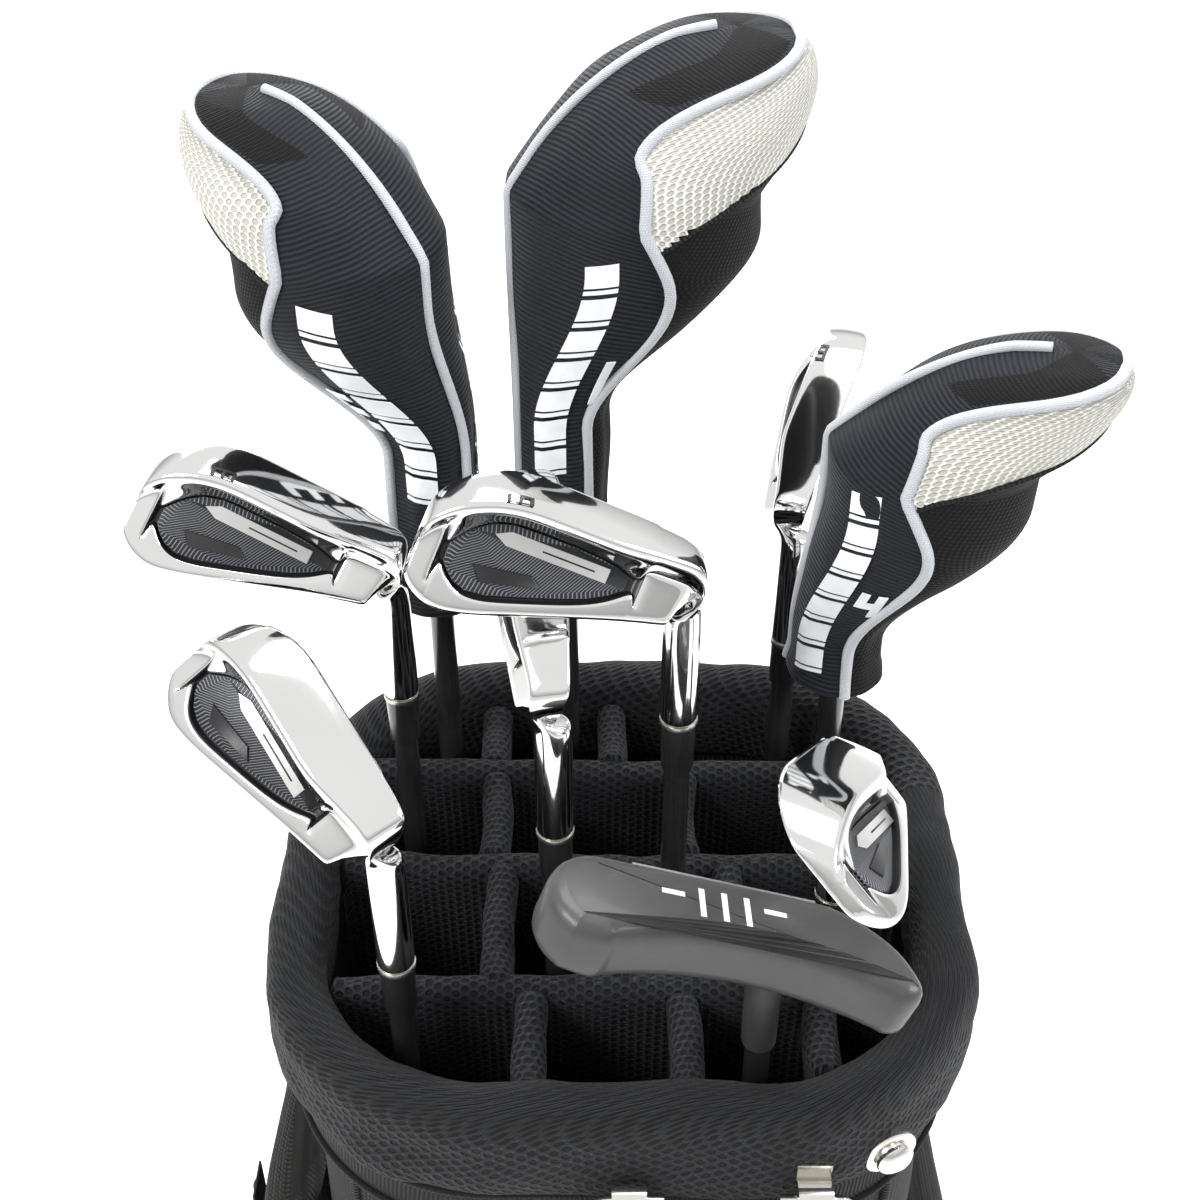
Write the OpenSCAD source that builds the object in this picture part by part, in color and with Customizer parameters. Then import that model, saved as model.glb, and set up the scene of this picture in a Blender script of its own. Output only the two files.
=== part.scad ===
/* [Bag] */
// Height of the rim crest above the ground
rim_z = 815; // [700:1:950]
// Width across the rim crest line
rim_w = 245; // [200:1:300]
// Depth across the rim crest line
rim_d = 224; // [160:1:260]
// Corner radius of the rim crest line
rim_r = 76; // [40:1:95]
// Radius of the padded rim tube
rim_tube = 11; // [8:0.5:16]
// Wall thickness of the bag body
wall = 3; // [2:0.5:5]
// Height of the moulded base cup
base_h = 46; // [25:1:80]
// Thickness of the base cup floor and of the body floor
floor_t = 6; // [3:0.5:12]
// Thickness of the full-length divider cloth
cloth_t = 2; // [1:0.5:4]
// Radius of the padded divider bars
bar_r = 5; // [4:0.5:8]

/* [Clubs] */
// Radius of a shaft at the tip
tip_r = 4.6; // [4:0.1:5.5]
// Radius of a shaft at the butt
butt_r = 7.4; // [6:0.1:8.5]
// Length of a grip
grip_l = 268; // [240:1:290]
// Largest radius of a grip
grip_r = 13.2; // [12:0.1:14.5]
// Outer radius of a hosel
hosel_r = 6.8; // [6:0.1:8]
// Distance from hosel mouth to the ground line of an iron
hosel_l = 76; // [60:1:85]
// Lie angle of the irons
iron_lie = 62; // [58:0.5:66]
// Lie angle of the woods
wood_lie = 58; // [54:0.5:62]
// Lie angle of the putter
putt_lie = 71; // [68:0.5:78]

/* [Carry parts] */
// Radius of the padded grab handle
grab_r = 9; // [6:0.5:12]
// Width of the shoulder strap
strap_w = 52; // [35:1:70]

/* [Hidden] */
eps = 0.06;
z0 = 2 * floor_t + 1;
row = [-56, 8, 61];
cell = [[-33, 22, 74], [-46, 0, 42], [-52, 27], [-53, -3]];

// name, length, x and y at the rim, lean x and y in degrees, toe heading
clubs = [
  ["driver", 1050, -22, 87, 0, 0, 13],
  ["fairway", 1036, -72.5, 79.6, 0, 0, 146],
  ["hybrid", 980, 82, 33, 0, 0, -18],
  ["i6", 960, 20, -12, 0, 0, 184],
  ["i7", 928, -24, -36, 0, 0, 92],
  ["i8", 932, -85, 34, 0, 0, 172],
  ["i9", 922, 69, 80, 0, 0, 66],
  ["pw", 902, -79, -74.5, 0, 0, 128],
  ["sw", 895, 78, -36, 0, 0, 244],
  ["putter", 864, 48, -86, 0, 0, 182]
];
// loft, face length at the toe, face length at the heel, sole width
iron_dims = [[27, 55, 30, 19], [30, 56, 30.5, 19.5], [34, 57, 31, 20], [38, 58, 32, 20.5],
             [43, 60, 33, 21], [55, 62, 35, 24]];

function tip_z(i) = clubs[i][1];
function shaft_r(z, l) = butt_r + (tip_r - butt_r) * z / l;

module at_club(i) {
  c = clubs[i];
  h = rim_z - z0;
  translate([c[2] - h * tan(c[4]), c[3] - h * tan(c[5]) / cos(c[4]), z0])
    rotate([-c[5], c[4], 0]) rotate([0, 0, c[6]]) children();
}

// rounded rectangle, solid
module pad2(w, d, r) {
  square([w - 2 * r, d], center = true);
  square([w, d - 2 * r], center = true);
  for (x = [-1, 1], y = [-1, 1])
    translate([x * (w / 2 - r), y * (d / 2 - r)]) circle(r = r, $fn = 96);
}
module block(w, d, r, z, h) {
  translate([0, 0, z]) linear_extrude(height = h) pad2(w, d, r);
}
// padded tube following a rounded rectangle
module ring_tube(w, d, r, t) {
  for (x = [-1, 1], y = [-1, 1])
    translate([x * (w / 2 - r), y * (d / 2 - r), 0])
      rotate([0, 0, x > 0 ? (y > 0 ? 0 : 270) : (y > 0 ? 90 : 180)])
        rotate_extrude(angle = 90, $fn = 96) translate([r, 0]) circle(r = t, $fn = 40);
  for (y = [-1, 1]) translate([-(w / 2 - r), y * d / 2, 0]) rotate([0, 90, 0])
    cylinder(r = t, h = w - 2 * r, $fn = 40);
  for (x = [-1, 1]) translate([x * w / 2, d / 2 - r, 0]) rotate([90, 0, 0])
    cylinder(r = t, h = d - 2 * r, $fn = 40);
}

// ---- bag ----
module base_foot() color([0.07, 0.07, 0.08]) difference() {
  union() {
    block(rim_w + 12, rim_d + 12, rim_r + 6, 4, base_h - 4);
    block(rim_w + 6, rim_d + 6, rim_r + 3, 0, 5);
  }
  block(rim_w + 0.4, rim_d + 0.4, rim_r + 0.2, floor_t, base_h);
}
module bag_body() color([0.1, 0.1, 0.11]) difference() {
  block(rim_w, rim_d, rim_r, floor_t + eps, rim_z - 22 - floor_t - eps);
  block(rim_w - 2 * wall, rim_d - 2 * wall, rim_r - wall, 2 * floor_t, rim_z);
}
module rim_pad() color([0.14, 0.14, 0.15]) difference() {
  union() {
    translate([0, 0, rim_z - rim_tube]) ring_tube(rim_w, rim_d, rim_r, rim_tube);
    difference() {
      block(rim_w + 11, rim_d + 11, rim_r + 5.5, rim_z - 48, 36);
      block(rim_w - 8, rim_d - 8, rim_r - 4, rim_z - 60, 80);
    }
  }
  difference() {
    block(rim_w + 0.2, rim_d + 0.2, rim_r + 0.1, rim_z - 60, 38.1);
    block(rim_w - 2 * wall - 0.2, rim_d - 2 * wall - 0.2, rim_r - wall, rim_z - 70, 80);
  }
  block(rim_w - 2 * wall - 0.2, rim_d - 2 * wall - 0.2, rim_r - wall - 0.1, rim_z - 60, 38.1);
}
module wall_x(y, z, h, t) translate([-rim_w, y - t / 2, z]) cube([2 * rim_w, t, h]);
module dividers() color([0.12, 0.12, 0.13]) {
  edge = concat([-rim_d], row, [rim_d]);
  intersection() {
    block(rim_w - 2 * wall - 0.4, rim_d - 2 * wall - 0.4, rim_r - wall - 0.2,
          2 * floor_t + 0.2, rim_z);
    union() {
      for (y = row) wall_x(y, 0, rim_z - 22, cloth_t);
      for (i = [0:3], x = cell[i])
        translate([x - cloth_t / 2, edge[i], 0])
          cube([cloth_t, edge[i + 1] - edge[i], rim_z - 22]);
    }
  }
  intersection() {
    block(rim_w - 2 * rim_tube - 0.8, rim_d - 2 * rim_tube - 0.8, rim_r - rim_tube - 0.4,
          rim_z - 40, 40);
    union() {
      for (y = row) translate([-rim_w, y, rim_z - 14]) rotate([0, 90, 0])
        cylinder(r = bar_r, h = 2 * rim_w, $fn = 32);
      for (y = row) wall_x(y, rim_z - 26, 12, 2 * bar_r);
      for (i = [0:3], x = cell[i]) {
        translate([x, edge[i], rim_z - 14]) rotate([-90, 0, 0])
          cylinder(r = bar_r, h = edge[i + 1] - edge[i], $fn = 32);
        translate([x - bar_r, edge[i], rim_z - 26])
          cube([2 * bar_r, edge[i + 1] - edge[i], 12]);
      }
    }
  }
}
module pocket(w, d, z, h, r) {
  difference() {
    translate([0, 0, z]) linear_extrude(height = h) pad2(w, d, r);
    translate([0, 0, z + 2]) linear_extrude(height = h - 4) pad2(w - 4, d - 4, r - 2);
  }
}
// side pocket on the left, clear of the body wall
module side_pocket() color([0.11, 0.11, 0.12])
  translate([-rim_w / 2 - 17, 0, 0]) pocket(32, 150, 190, 480, 14);
module ball_pocket() color([0.11, 0.11, 0.12])
  translate([0, -rim_d / 2 - 28, 0]) pocket(170, 54, 70, 250, 22);
module right_pocket() color([0.11, 0.11, 0.12])
  translate([rim_w / 2 + 20, 0, 0]) pocket(38, 110, 120, 470, 17);
module zip_bar(l) {
  translate([-3, -1, 0]) cube([6, 2, l]);
}
module zips() color([0.02, 0.02, 0.02]) {
  translate([-rim_w / 2 - 34.1, -34, 215]) rotate([0, 0, 90]) zip_bar(430);
  translate([-70, -rim_d / 2 - 56.1, 292]) rotate([0, 90, 0]) zip_bar(140);
}
module stay(x) {
  translate([x, rim_d / 2 + 6.2, base_h + 1]) cylinder(r = 5, h = rim_z - 52 - base_h, $fn = 32);
}
module back_stays() color([0.2, 0.2, 0.21]) {
  for (x = [-34, 34]) stay(x);
  for (z = [120, 420, 720]) translate([-34, rim_d / 2 + 6.2, z]) rotate([0, 90, 0])
    cylinder(r = 4, h = 68, $fn = 32);
}
// webbing tabs that hold the handle to the rim skirt
module grab_mounts() color([0.72, 0.73, 0.75])
  for (x = [-1, 1]) translate([34 + x * 32, 0, 0]) difference() {
    union() {
      translate([-6, -rim_d / 2 - 12, rim_z - 48]) cube([12, 6.4, 24]);
      translate([-6, -rim_d / 2 - 18, rim_z - 36]) rotate([0, 90, 0])
        cylinder(r = 7, h = 12, $fn = 40);
    }
    translate([-8, -rim_d / 2 - 18, rim_z - 36]) rotate([0, 90, 0])
      cylinder(r = 3.2, h = 16, $fn = 40);
  }
module grab_handle() color([0.05, 0.05, 0.055]) translate([34, -rim_d / 2 - 18, rim_z - 36]) {
  rotate([0, 90, 0]) translate([0, 0, -42]) cylinder(r = 3, h = 84, $fn = 40);
  for (x = [-1, 1]) translate([x * 42, 0, 0]) {
    rotate([0, 90, 0]) translate([0, 0, -2.5]) cylinder(r = 6, h = 5, $fn = 40);
    translate([0, 0, -34]) cylinder(r = 2.5, h = 34, $fn = 24);
  }
  translate([-50, 0, -38]) rotate([0, 90, 0]) cylinder(r = grab_r, h = 100, $fn = 48);
}
module snap_stud() color([0.75, 0.76, 0.78])
  translate([92, -rim_d / 2 + 6, rim_z - 34]) rotate([90, 0, 22]) {
    cylinder(r = 6, h = 11, $fn = 40);
  }
module strap_rings() color([0.6, 0.61, 0.63])
  for (z = [rim_z - 70, 330]) translate([0, rim_d / 2 + 11.6, z]) difference() {
    union() {
      translate([-22, 0, -8]) cube([44, 4, 16]);
      translate([-strap_w / 2 - 5, 4, -3]) cube([strap_w + 10, 14, 6]);
    }
    translate([-strap_w / 2, 7, -4]) cube([strap_w, 8, 8]);
  }
module shoulder_strap() color([0.08, 0.08, 0.09]) {
  top = rim_z - 70;
  bot = 330;
  mid = (top + bot) / 2;
  sag = 34;
  half = (top - bot) / 2;
  rad = (half * half + sag * sag) / (2 * sag);
  ang = asin(half / rad);
  translate([-strap_w / 2 + 1, rim_d / 2 + 22.6 + sag - rad, mid]) rotate([0, 90, 0])
    rotate([0, 0, 90 - ang]) rotate_extrude(angle = 2 * ang, $fn = 180)
      translate([rad - 2, 0]) square([4, strap_w - 2]);
}

// ---- clubs, common ----
module grip(i) color([0.05, 0.05, 0.055]) at_club(i) difference() {
  union() {
    cylinder(r1 = grip_r - 1.2, r2 = grip_r, h = 3, $fn = 48);
    translate([0, 0, 3]) cylinder(r1 = grip_r, r2 = 9.6, h = grip_l - 6, $fn = 48);
    translate([0, 0, grip_l - 3]) cylinder(r1 = 9.6, r2 = 8.6, h = 3, $fn = 48);
  }
  translate([0, 0, 4]) cylinder(r1 = butt_r + eps, r2 = shaft_r(grip_l - 3, tip_z(i)) + eps,
                                h = grip_l, $fn = 48);
}
module shaft(i, top) color([0.12, 0.12, 0.13]) at_club(i) translate([0, 0, 4.1]) difference() {
  cylinder(r1 = butt_r, r2 = tip_r, h = top - 4.1, $fn = 40);
  translate([0, 0, -1]) cylinder(r1 = butt_r - 1.2, r2 = tip_r - 1.3, h = top - 2.1, $fn = 40);
}
module ferrule(i, z, r) color([0.03, 0.03, 0.03]) at_club(i) translate([0, 0, z]) difference() {
  union() {
    cylinder(r1 = tip_r + 1.3, r2 = r, h = 20, $fn = 40);
    translate([0, 0, 20]) cylinder(r = r, h = 2.4, $fn = 40);
  }
  translate([0, 0, -1]) cylinder(r = shaft_r(z, tip_z(i)) + eps, h = 26, $fn = 40);
}

// ---- irons ----
n = 20;
// address frame (toe, forward, up) to the club frame
function at(p, l, lie) = [p[0] * sin(lie) + p[2] * cos(lie), -p[1],
                          l + p[0] * cos(lie) - p[2] * sin(lie)];
function mix(a, b, t) = a + (b - a) * t;
function ease(t) = t * t * (3 - 2 * t);
// section of the blade along the face (v) and behind it (w); q opens the cavity
function blade(h, wd, loft, q) =
  let (t = min(6.2, h * 0.3), sr = wd * sin(loft), cr = wd * cos(loft),
       ru = min(sr + 4.5, h * 0.62), lv = min(ru + 3, h * 0.72), lip = max(h - 5.2, lv + 0.4 * (h - lv)),
       fl = mix(t, 3, q), lw = mix(max(t + 1, 0.45 * cr), 4.6, q * 0.4))
  [[0, 0.9], [1.2, 0], [h * 0.3, 0], [h * 0.6, 0], [h - 1.4, 0], [h - 0.2, 1.4],
   [h, t * 0.55], [h - 0.7, t - 0.5], [h - 2, t], [lip, t], [lip - 0.7 * q, fl],
   [mix(lv, lip, 0.5), fl], [lv + 0.7 * q, fl], [lv, mix(t, max(t, lw), 1)],
   [mix(ru, lv, 0.4), mix(cr * 0.8, lw, 0.45)], [ru, cr - 1.6],
   [mix(sr, ru, 0.4), cr], [sr - 0.4, cr - 1.2], [sr * 0.68 - 1.0, cr * 0.66 - 0.3],
   [sr * 0.3 - 0.9, cr * 0.3]];
function place(pts, a, c0, loft, b0) =
  [for (p = pts) [a, b0 - p[0] * sin(loft) - p[1] * cos(loft), c0 + p[0] * cos(loft) - p[1] * sin(loft)]];
// outline of the head: stations along the toe line
function st(a, a0, ht, hh) = let (u = (a - a0) / (74 - a0)) mix(hh, ht, u);
function head_rings(d) =
  let (loft = d[0], ht = d[1], hh = d[2], wd = d[3], lie = iron_lie,
       cc = hh * cos(loft), pa = hosel_r * sin(lie) - (cc - hosel_r * cos(lie)) / tan(lie) + 1.2,
       pc = cc + 1.6, b0 = 5.4 + 0.05 * loft,
       mouth = hosel_l, bore = tip_r + 0.16,
       crot = (cc + 0.9) / sin(lie) - hosel_r / tan(lie),
       circ = [for (k = [0:n - 1]) 200 - 360 * k / n],
       hub = function (r, s) [for (t = circ)
         [-s * cos(lie) + r * cos(t) * sin(lie) * -1, r * sin(t), s * sin(lie) - r * cos(t) * cos(lie)]],
       flat = place(blade(hh, wd * 0.72, loft, 0), 0, 1.4, loft, b0),
       bend = [for (k = [1:7]) let (t = k / 8, e = ease(t), f = 180 + (90 - lie) + lie * t) [
         for (j = [0:n - 1]) let (
           r = mix(1.4 + hosel_r + hosel_r * cos(circ[j]), pc - flat[j][2], e),
           b = mix(hosel_r * sin(circ[j]), flat[j][1], e))
         [pa + r * cos(f), b, pc + r * sin(f)]]],
       as = [pa, pa + 5, 4, 9, 9.8, 18, 28, 38, 48, 58, 66, 66.8, 71, 75, 78.5, 81, 82.6, 83.4],
       toe = function (a) a < 68 ? 0 : sqrt(max(0, 1 - pow((a - 68) / 15.6, 2))))
  concat(
    [hub(bore, mouth - 34), hub(bore, mouth), hub(hosel_r - 0.6, mouth), hub(hosel_r, mouth - 0.8),
     hub(hosel_r, mix(mouth, crot, 0.5)), hub(hosel_r, crot + 1.6)],
    bend,
    [for (k = [0:len(as) - 1]) let (
       a = as[k], q = (a > 9.3 && a < 66.4) ? 1 : 0,
       f = a < 68 ? 1 : toe(a),
       h0 = a < 70 ? st(a, pa, ht, hh) : st(70, pa, ht, hh),
       rise = a < 20 ? 1.4 * pow((20 - a) / (20 - pa), 2) : (a > 50 ? 1.6 * pow((a - 50) / 20, 2) : 0),
       h = max(h0 * mix(0.34, 1, f), 5), c0 = rise + (1 - f) * h0 * 0.36 * cos(loft),
       w = wd * (a < 20 ? mix(0.72, 1, (a - pa) / (20 - pa)) : 1) * mix(0.42, 1, f))
     place(blade(h, w, loft, q), a, c0, loft, b0 - (1 - f) * h0 * 0.36 * sin(loft))]);
function tube_faces(m, k) = concat(
  [[for (j = [0:k - 1]) j]], [[for (j = [k - 1:-1:0]) (m - 1) * k + j]],
  [for (i = [0:m - 2], j = [0:k - 1]) [i * k + j, (i + 1) * k + j, (i + 1) * k + (j + 1) % k]],
  [for (i = [0:m - 2], j = [0:k - 1]) [i * k + j, (i + 1) * k + (j + 1) % k, i * k + (j + 1) % k]]);
module iron_head(i, d) color([0.78, 0.79, 0.8]) at_club(i) {
  rings = head_rings(d);
  pts = [for (r = rings, p = r) at(p, tip_z(i), iron_lie)];
  polyhedron(points = pts, faces = tube_faces(len(rings), n), convexity = 8);
}
// plate lying on the cavity floor
module badge(i, d) color([0.2, 0.2, 0.22]) at_club(i) {
  loft = d[0]; ht = d[1]; hh = d[2]; wd = d[3]; l = tip_z(i); lie = iron_lie;
  b0 = 5.4 + 0.05 * loft;
  ru = wd * sin(loft) + 4.5;
  cc = hh * cos(loft);
  pa = hosel_r * sin(lie) - (cc - hosel_r * cos(lie)) / tan(lie) + 1.2;
  lo = ru + 4.6;
  o = at([0, b0, 0], l, lie);
  va = at([1, 0, 0], 0, lie);
  vv = at([0, -sin(loft), cos(loft)], 0, lie);
  vw = at([0, -cos(loft), -sin(loft)], 0, lie);
  multmatrix([[va[0], vv[0], vw[0], o[0]], [va[1], vv[1], vw[1], o[1]], [va[2], vv[2], vw[2], o[2]],
              [0, 0, 0, 1]]) {
    translate([0, 0, 3.05]) linear_extrude(height = 1.1)
      polygon([[12, lo + 0.6], [64.4, lo + 0.6], [64.4, st(64.4, pa, ht, hh) - 7.4],
               [12, st(12, pa, ht, hh) - 7.2]]);
    translate([0, 0, 3.5]) linear_extrude(height = 1.4)
      polygon([[20, lo + 2], [58, lo + 2], [62, lo + 4.6], [58, lo + 7], [20, lo + 7]]);
  }
}

// ---- woods ----
m = 20;
// how far the heel reaches past the shaft line
function heel(w) = w > 95 ? 17 : 9;
// stations of a wood head: toe distance, half width, height of sole and crown
function oval(a, c, hb, hc, f) = [for (k = [0:m - 1]) let (t = 360 * k / m)
  [a, f + hb * cos(t), c + hc * sin(t)]];
module shell(rings, i, lie) {
  pts = [for (r = rings, p = r) at(p, tip_z(i), lie)];
  polyhedron(points = pts, faces = tube_faces(len(rings), m), convexity = 6);
}
function wood_rings(w, dp, h, g) = [for (t = [-86, -64, -42, -20, 0, 20, 42, 64, 86])
  let (s = max(0.14, cos(t))) oval(w / 2 + (w / 2 - g) * sin(t) - heel(w), h / 2,
    (dp / 2) * s - g, (h / 2) * s - g, -dp / 2 + 24)];
module wood_head(i, w, dp, h) color([0.06, 0.06, 0.07]) difference() {
  union() {
    difference() {
      at_club(i) shell(wood_rings(w, dp, h, 0), i, wood_lie);
      at_club(i) shell(wood_rings(w, dp, h, 1.3), i, wood_lie);
    }
    at_club(i) translate([0, 0, tip_z(i) - 62]) cylinder(r = 6.6, h = 46, $fn = 32);
  }
  at_club(i) translate([0, 0, tip_z(i) - 64]) cylinder(r = tip_r + 0.2, h = 32, $fn = 32);
}

// sock-like cover: rings up the shaft that swell around the head, then back down inside
function boot(w, dp, h, neck, g) = let (
    A = w / 2, C = h / 2, sl = sin(wood_lie), cl = cos(wood_lie),
    zz = A * A * cl * cl + C * C * sl * sl, xx = A * A * sl * sl + C * C * cl * cl,
    xz = (A * A - C * C) * sl * cl, zm = sqrt(zz), hx = sqrt(xx - xz * xz / zz),
    a0 = A - heel(w), c0 = C, x0 = a0 * sl + c0 * cl, zc = a0 * cl - c0 * sl,
    zs = [-neck, -neck + 8, -100, -84, -68, -54, -40, -26, -12, 2, 0.42 * zm, 0.66 * zm,
          0.84 * zm, 0.96 * zm, zm + 3.6, zm + 5.5])
  [for (j = [0:len(zs) - 1]) let (
      z = zs[j], e = ease(min(1, max(0, (z + 94) / 66))), u = z > 0 ? z / (zm + 6.4) : 0,
      s = sqrt(max(0.01, 1 - u * u)), zg = j == len(zs) - 1 ? z - g : z,
      nr = j == 0 ? 18.5 : 17, px = mix(nr, hx * s + 8.4, e) - g, py = mix(nr, dp / 2 * s + 4.8, e) - g)
    [for (t = [0:m - 1]) let (f = 360 * t / m)
      [mix(0, x0 - 2 + xz / zz * max(z, -12), e) + px * cos(f), mix(0, dp / 2 - 24, e) + py * sin(f), zc + zg]]];
module cover(i, w, dp, h, neck) color([0.1, 0.1, 0.11]) at_club(i) translate([0, 0, tip_z(i)]) {
  outer = boot(w, dp, h, neck, 0);
  inner = boot(w, dp, h, neck, 2.2);
  rings = concat([for (j = [len(inner) - 1:-1:0]) inner[j]], outer);
  pts = [for (r = rings, p = r) p];
  polyhedron(points = pts, faces = tube_faces(len(rings), m), convexity = 8);
}

// ---- putter ----
// sole outline: straight face, round toe, tapered heel, hollow back
module moon(g) difference() {
  union() {
    translate([-25, -24 + g]) square([83, 36 - 2 * g]);
    translate([58, -6]) circle(r = 18 - g, $fn = 64);
    polygon([[-24, 12 - g], [-36, 7 - g], [-47 + g, -4], [-54 + g, -16], [-53 + g, -22 + g], [-24, -24 + g]]);
  }
  translate([4, -164 + g]) circle(r = 150, $fn = 240);
}
module putter_head() color([0.16, 0.16, 0.17]) at_club(9) {
  l = tip_z(9); lie = putt_lie;
  multmatrix([[sin(lie), 0, cos(lie), 0], [0, -1, 0, 0], [cos(lie), 0, -sin(lie), l], [0, 0, 0, 1]])
    difference() {
      union() {
        translate([0, 0, 1.5]) linear_extrude(height = 22) moon(0);
        linear_extrude(height = 1.6) moon(3);
      }
      translate([28, -3, 15]) linear_extrude(height = 12) pad2(40, 10, 3);
    }
  difference() {
    translate([0, 0, l - 66]) cylinder(r = 6.4, h = 46, $fn = 40);
    translate([0, 0, l - 67]) cylinder(r = tip_r + 0.2, h = 32, $fn = 40);
  }
}
module putter_face() color([0.3, 0.3, 0.32]) at_club(9) {
  l = tip_z(9); lie = putt_lie;
  multmatrix([[sin(lie), 0, cos(lie), 0], [0, -1, 0, 0], [cos(lie), 0, -sin(lie), l], [0, 0, 0, 1]])
    translate([-20, 12.06, 4]) cube([66, 1.6, 16]);
}

base_foot();
bag_body();
rim_pad();
dividers();
side_pocket();
ball_pocket();
right_pocket();
zips();
back_stays();
grab_mounts();
grab_handle();
snap_stud();
strap_rings();
shoulder_strap();
wood_head(0, 100, 84, 52);  // driver_head
shaft(0, tip_z(0) - 34);  // driver_shaft
grip(0);  // driver_grip
cover(0, 100, 84, 52, 170);  // driver_cover
wood_head(1, 82, 68, 40);  // fairway_head
shaft(1, tip_z(1) - 34);  // fairway_shaft
grip(1);  // fairway_grip
cover(1, 82, 68, 40, 165);  // fairway_cover
wood_head(2, 84, 58, 36);  // hybrid_head
shaft(2, tip_z(2) - 34);  // hybrid_shaft
grip(2);  // hybrid_grip
cover(2, 84, 58, 36, 112);  // hybrid_cover
iron_head(3, iron_dims[0]);  // i6_head
badge(3, iron_dims[0]);  // i6_badge
ferrule(3, tip_z(3) - hosel_l - 22.5, hosel_r - 0.5);  // i6_ferrule
shaft(3, tip_z(3) - hosel_l + 33);  // i6_shaft
grip(3);  // i6_grip
iron_head(4, iron_dims[1]);  // i7_head
badge(4, iron_dims[1]);  // i7_badge
ferrule(4, tip_z(4) - hosel_l - 22.5, hosel_r - 0.5);  // i7_ferrule
shaft(4, tip_z(4) - hosel_l + 33);  // i7_shaft
grip(4);  // i7_grip
iron_head(5, iron_dims[2]);  // i8_head
badge(5, iron_dims[2]);  // i8_badge
ferrule(5, tip_z(5) - hosel_l - 22.5, hosel_r - 0.5);  // i8_ferrule
shaft(5, tip_z(5) - hosel_l + 33);  // i8_shaft
grip(5);  // i8_grip
iron_head(6, iron_dims[3]);  // i9_head
badge(6, iron_dims[3]);  // i9_badge
ferrule(6, tip_z(6) - hosel_l - 22.5, hosel_r - 0.5);  // i9_ferrule
shaft(6, tip_z(6) - hosel_l + 33);  // i9_shaft
grip(6);  // i9_grip
iron_head(7, iron_dims[4]);  // pw_head
badge(7, iron_dims[4]);  // pw_badge
ferrule(7, tip_z(7) - hosel_l - 22.5, hosel_r - 0.5);  // pw_ferrule
shaft(7, tip_z(7) - hosel_l + 33);  // pw_shaft
grip(7);  // pw_grip
iron_head(8, iron_dims[5]);  // sw_head
badge(8, iron_dims[5]);  // sw_badge
ferrule(8, tip_z(8) - hosel_l - 22.5, hosel_r - 0.5);  // sw_ferrule
shaft(8, tip_z(8) - hosel_l + 33);  // sw_shaft
grip(8);  // sw_grip
putter_head();
putter_face();
shaft(9, tip_z(9) - 36);  // putter_shaft
grip(9);  // putter_grip
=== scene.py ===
import math

import bmesh
import bpy
import numpy as np
from mathutils import Matrix, Vector, noise


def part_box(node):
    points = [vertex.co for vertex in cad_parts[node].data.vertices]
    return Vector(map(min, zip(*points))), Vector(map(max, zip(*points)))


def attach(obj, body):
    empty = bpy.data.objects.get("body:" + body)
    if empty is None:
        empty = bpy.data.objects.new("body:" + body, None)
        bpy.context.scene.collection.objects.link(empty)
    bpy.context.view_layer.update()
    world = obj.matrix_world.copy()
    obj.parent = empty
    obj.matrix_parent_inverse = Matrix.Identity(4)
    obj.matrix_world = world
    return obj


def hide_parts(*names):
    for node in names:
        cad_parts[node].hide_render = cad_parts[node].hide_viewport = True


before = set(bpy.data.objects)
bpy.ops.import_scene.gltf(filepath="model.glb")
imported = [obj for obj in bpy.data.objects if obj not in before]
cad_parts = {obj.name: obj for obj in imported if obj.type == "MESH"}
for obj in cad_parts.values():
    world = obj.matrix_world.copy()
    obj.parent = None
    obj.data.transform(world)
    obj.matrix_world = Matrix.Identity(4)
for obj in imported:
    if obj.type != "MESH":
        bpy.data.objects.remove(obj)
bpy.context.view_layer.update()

MM = 0.001

# Driving sizes in millimetres, read from the frame where it holds them
# bag: thickness of the rim's roll, corner radius, cloth of the body, top of the base cup
RIM_TUBE = 11
RIM_R = 76
WALL = 3
CUP_TOP = 48
rim_lo, rim_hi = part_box("rim_pad")
RIM_Z = rim_hi.z / MM
RIM_W = (rim_hi.x - rim_lo.x) / MM - 2 * RIM_TUBE
RIM_D = (rim_hi.y - rim_lo.y) / MM - 2 * RIM_TUBE
FLOOR_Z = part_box("bag_body")[0].z / MM
# divider walls: y of each full row, and x of the short walls between them from the front to the back
ROWS = [-56, 8, 61]
CELLS = [[-33, 22, 74], [-46, 0, 42], [-52, 27], [-53, -3]]
# irons: hosel and shaft tip, where the toe starts to round, the toe's end, the two ends of the cavity,
# places of the sections along the toe line, creases by the section's point, and points in a section
HOSEL_R, HOSEL_L, TIP_R = 6.8, 76, 4.6
TOE_TURN = 52
TOE_END = 83.6
CAVITY = (9.3, 75.6)
STATIONS = (4, 9, 9.8, 12, 16, 22, 30, 38, 46, 53, 59, 64, 68, 71.5, 74, 75.2, 76, 78.5, 81, 82.6, 83.4)
CREASES = {0: 0.6, 4: 0.5, 8: 0.35, 9: 0.75, 10: 0.8, 12: 0.8, 13: 0.7, 15: 0.35, 18: 0.2}
SIDES = 20
IRON_LIE, WOOD_LIE, PUTT_LIE = map(math.radians, (62, 58, 71))
# grab handle: height of its axle and the half length of its roll
AXLE_Z = 779
ROLL_HALF = 49.5

# club: x, y, heading of the toe in degrees; the length comes from the frame's shaft
PLACES = {
    "driver": (-22, 87, 13), "fairway": (-72.5, 79.6, 146), "hybrid": (82, 33, -18),
    "i6": (20, -12, 184), "i7": (-24, -36, 92), "i8": (-85, 34, 172), "i9": (69, 80, 66),
    "pw": (-79, -74.5, 128), "sw": (78, -36, 244), "putter": (48, -86, 182),
}
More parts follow.
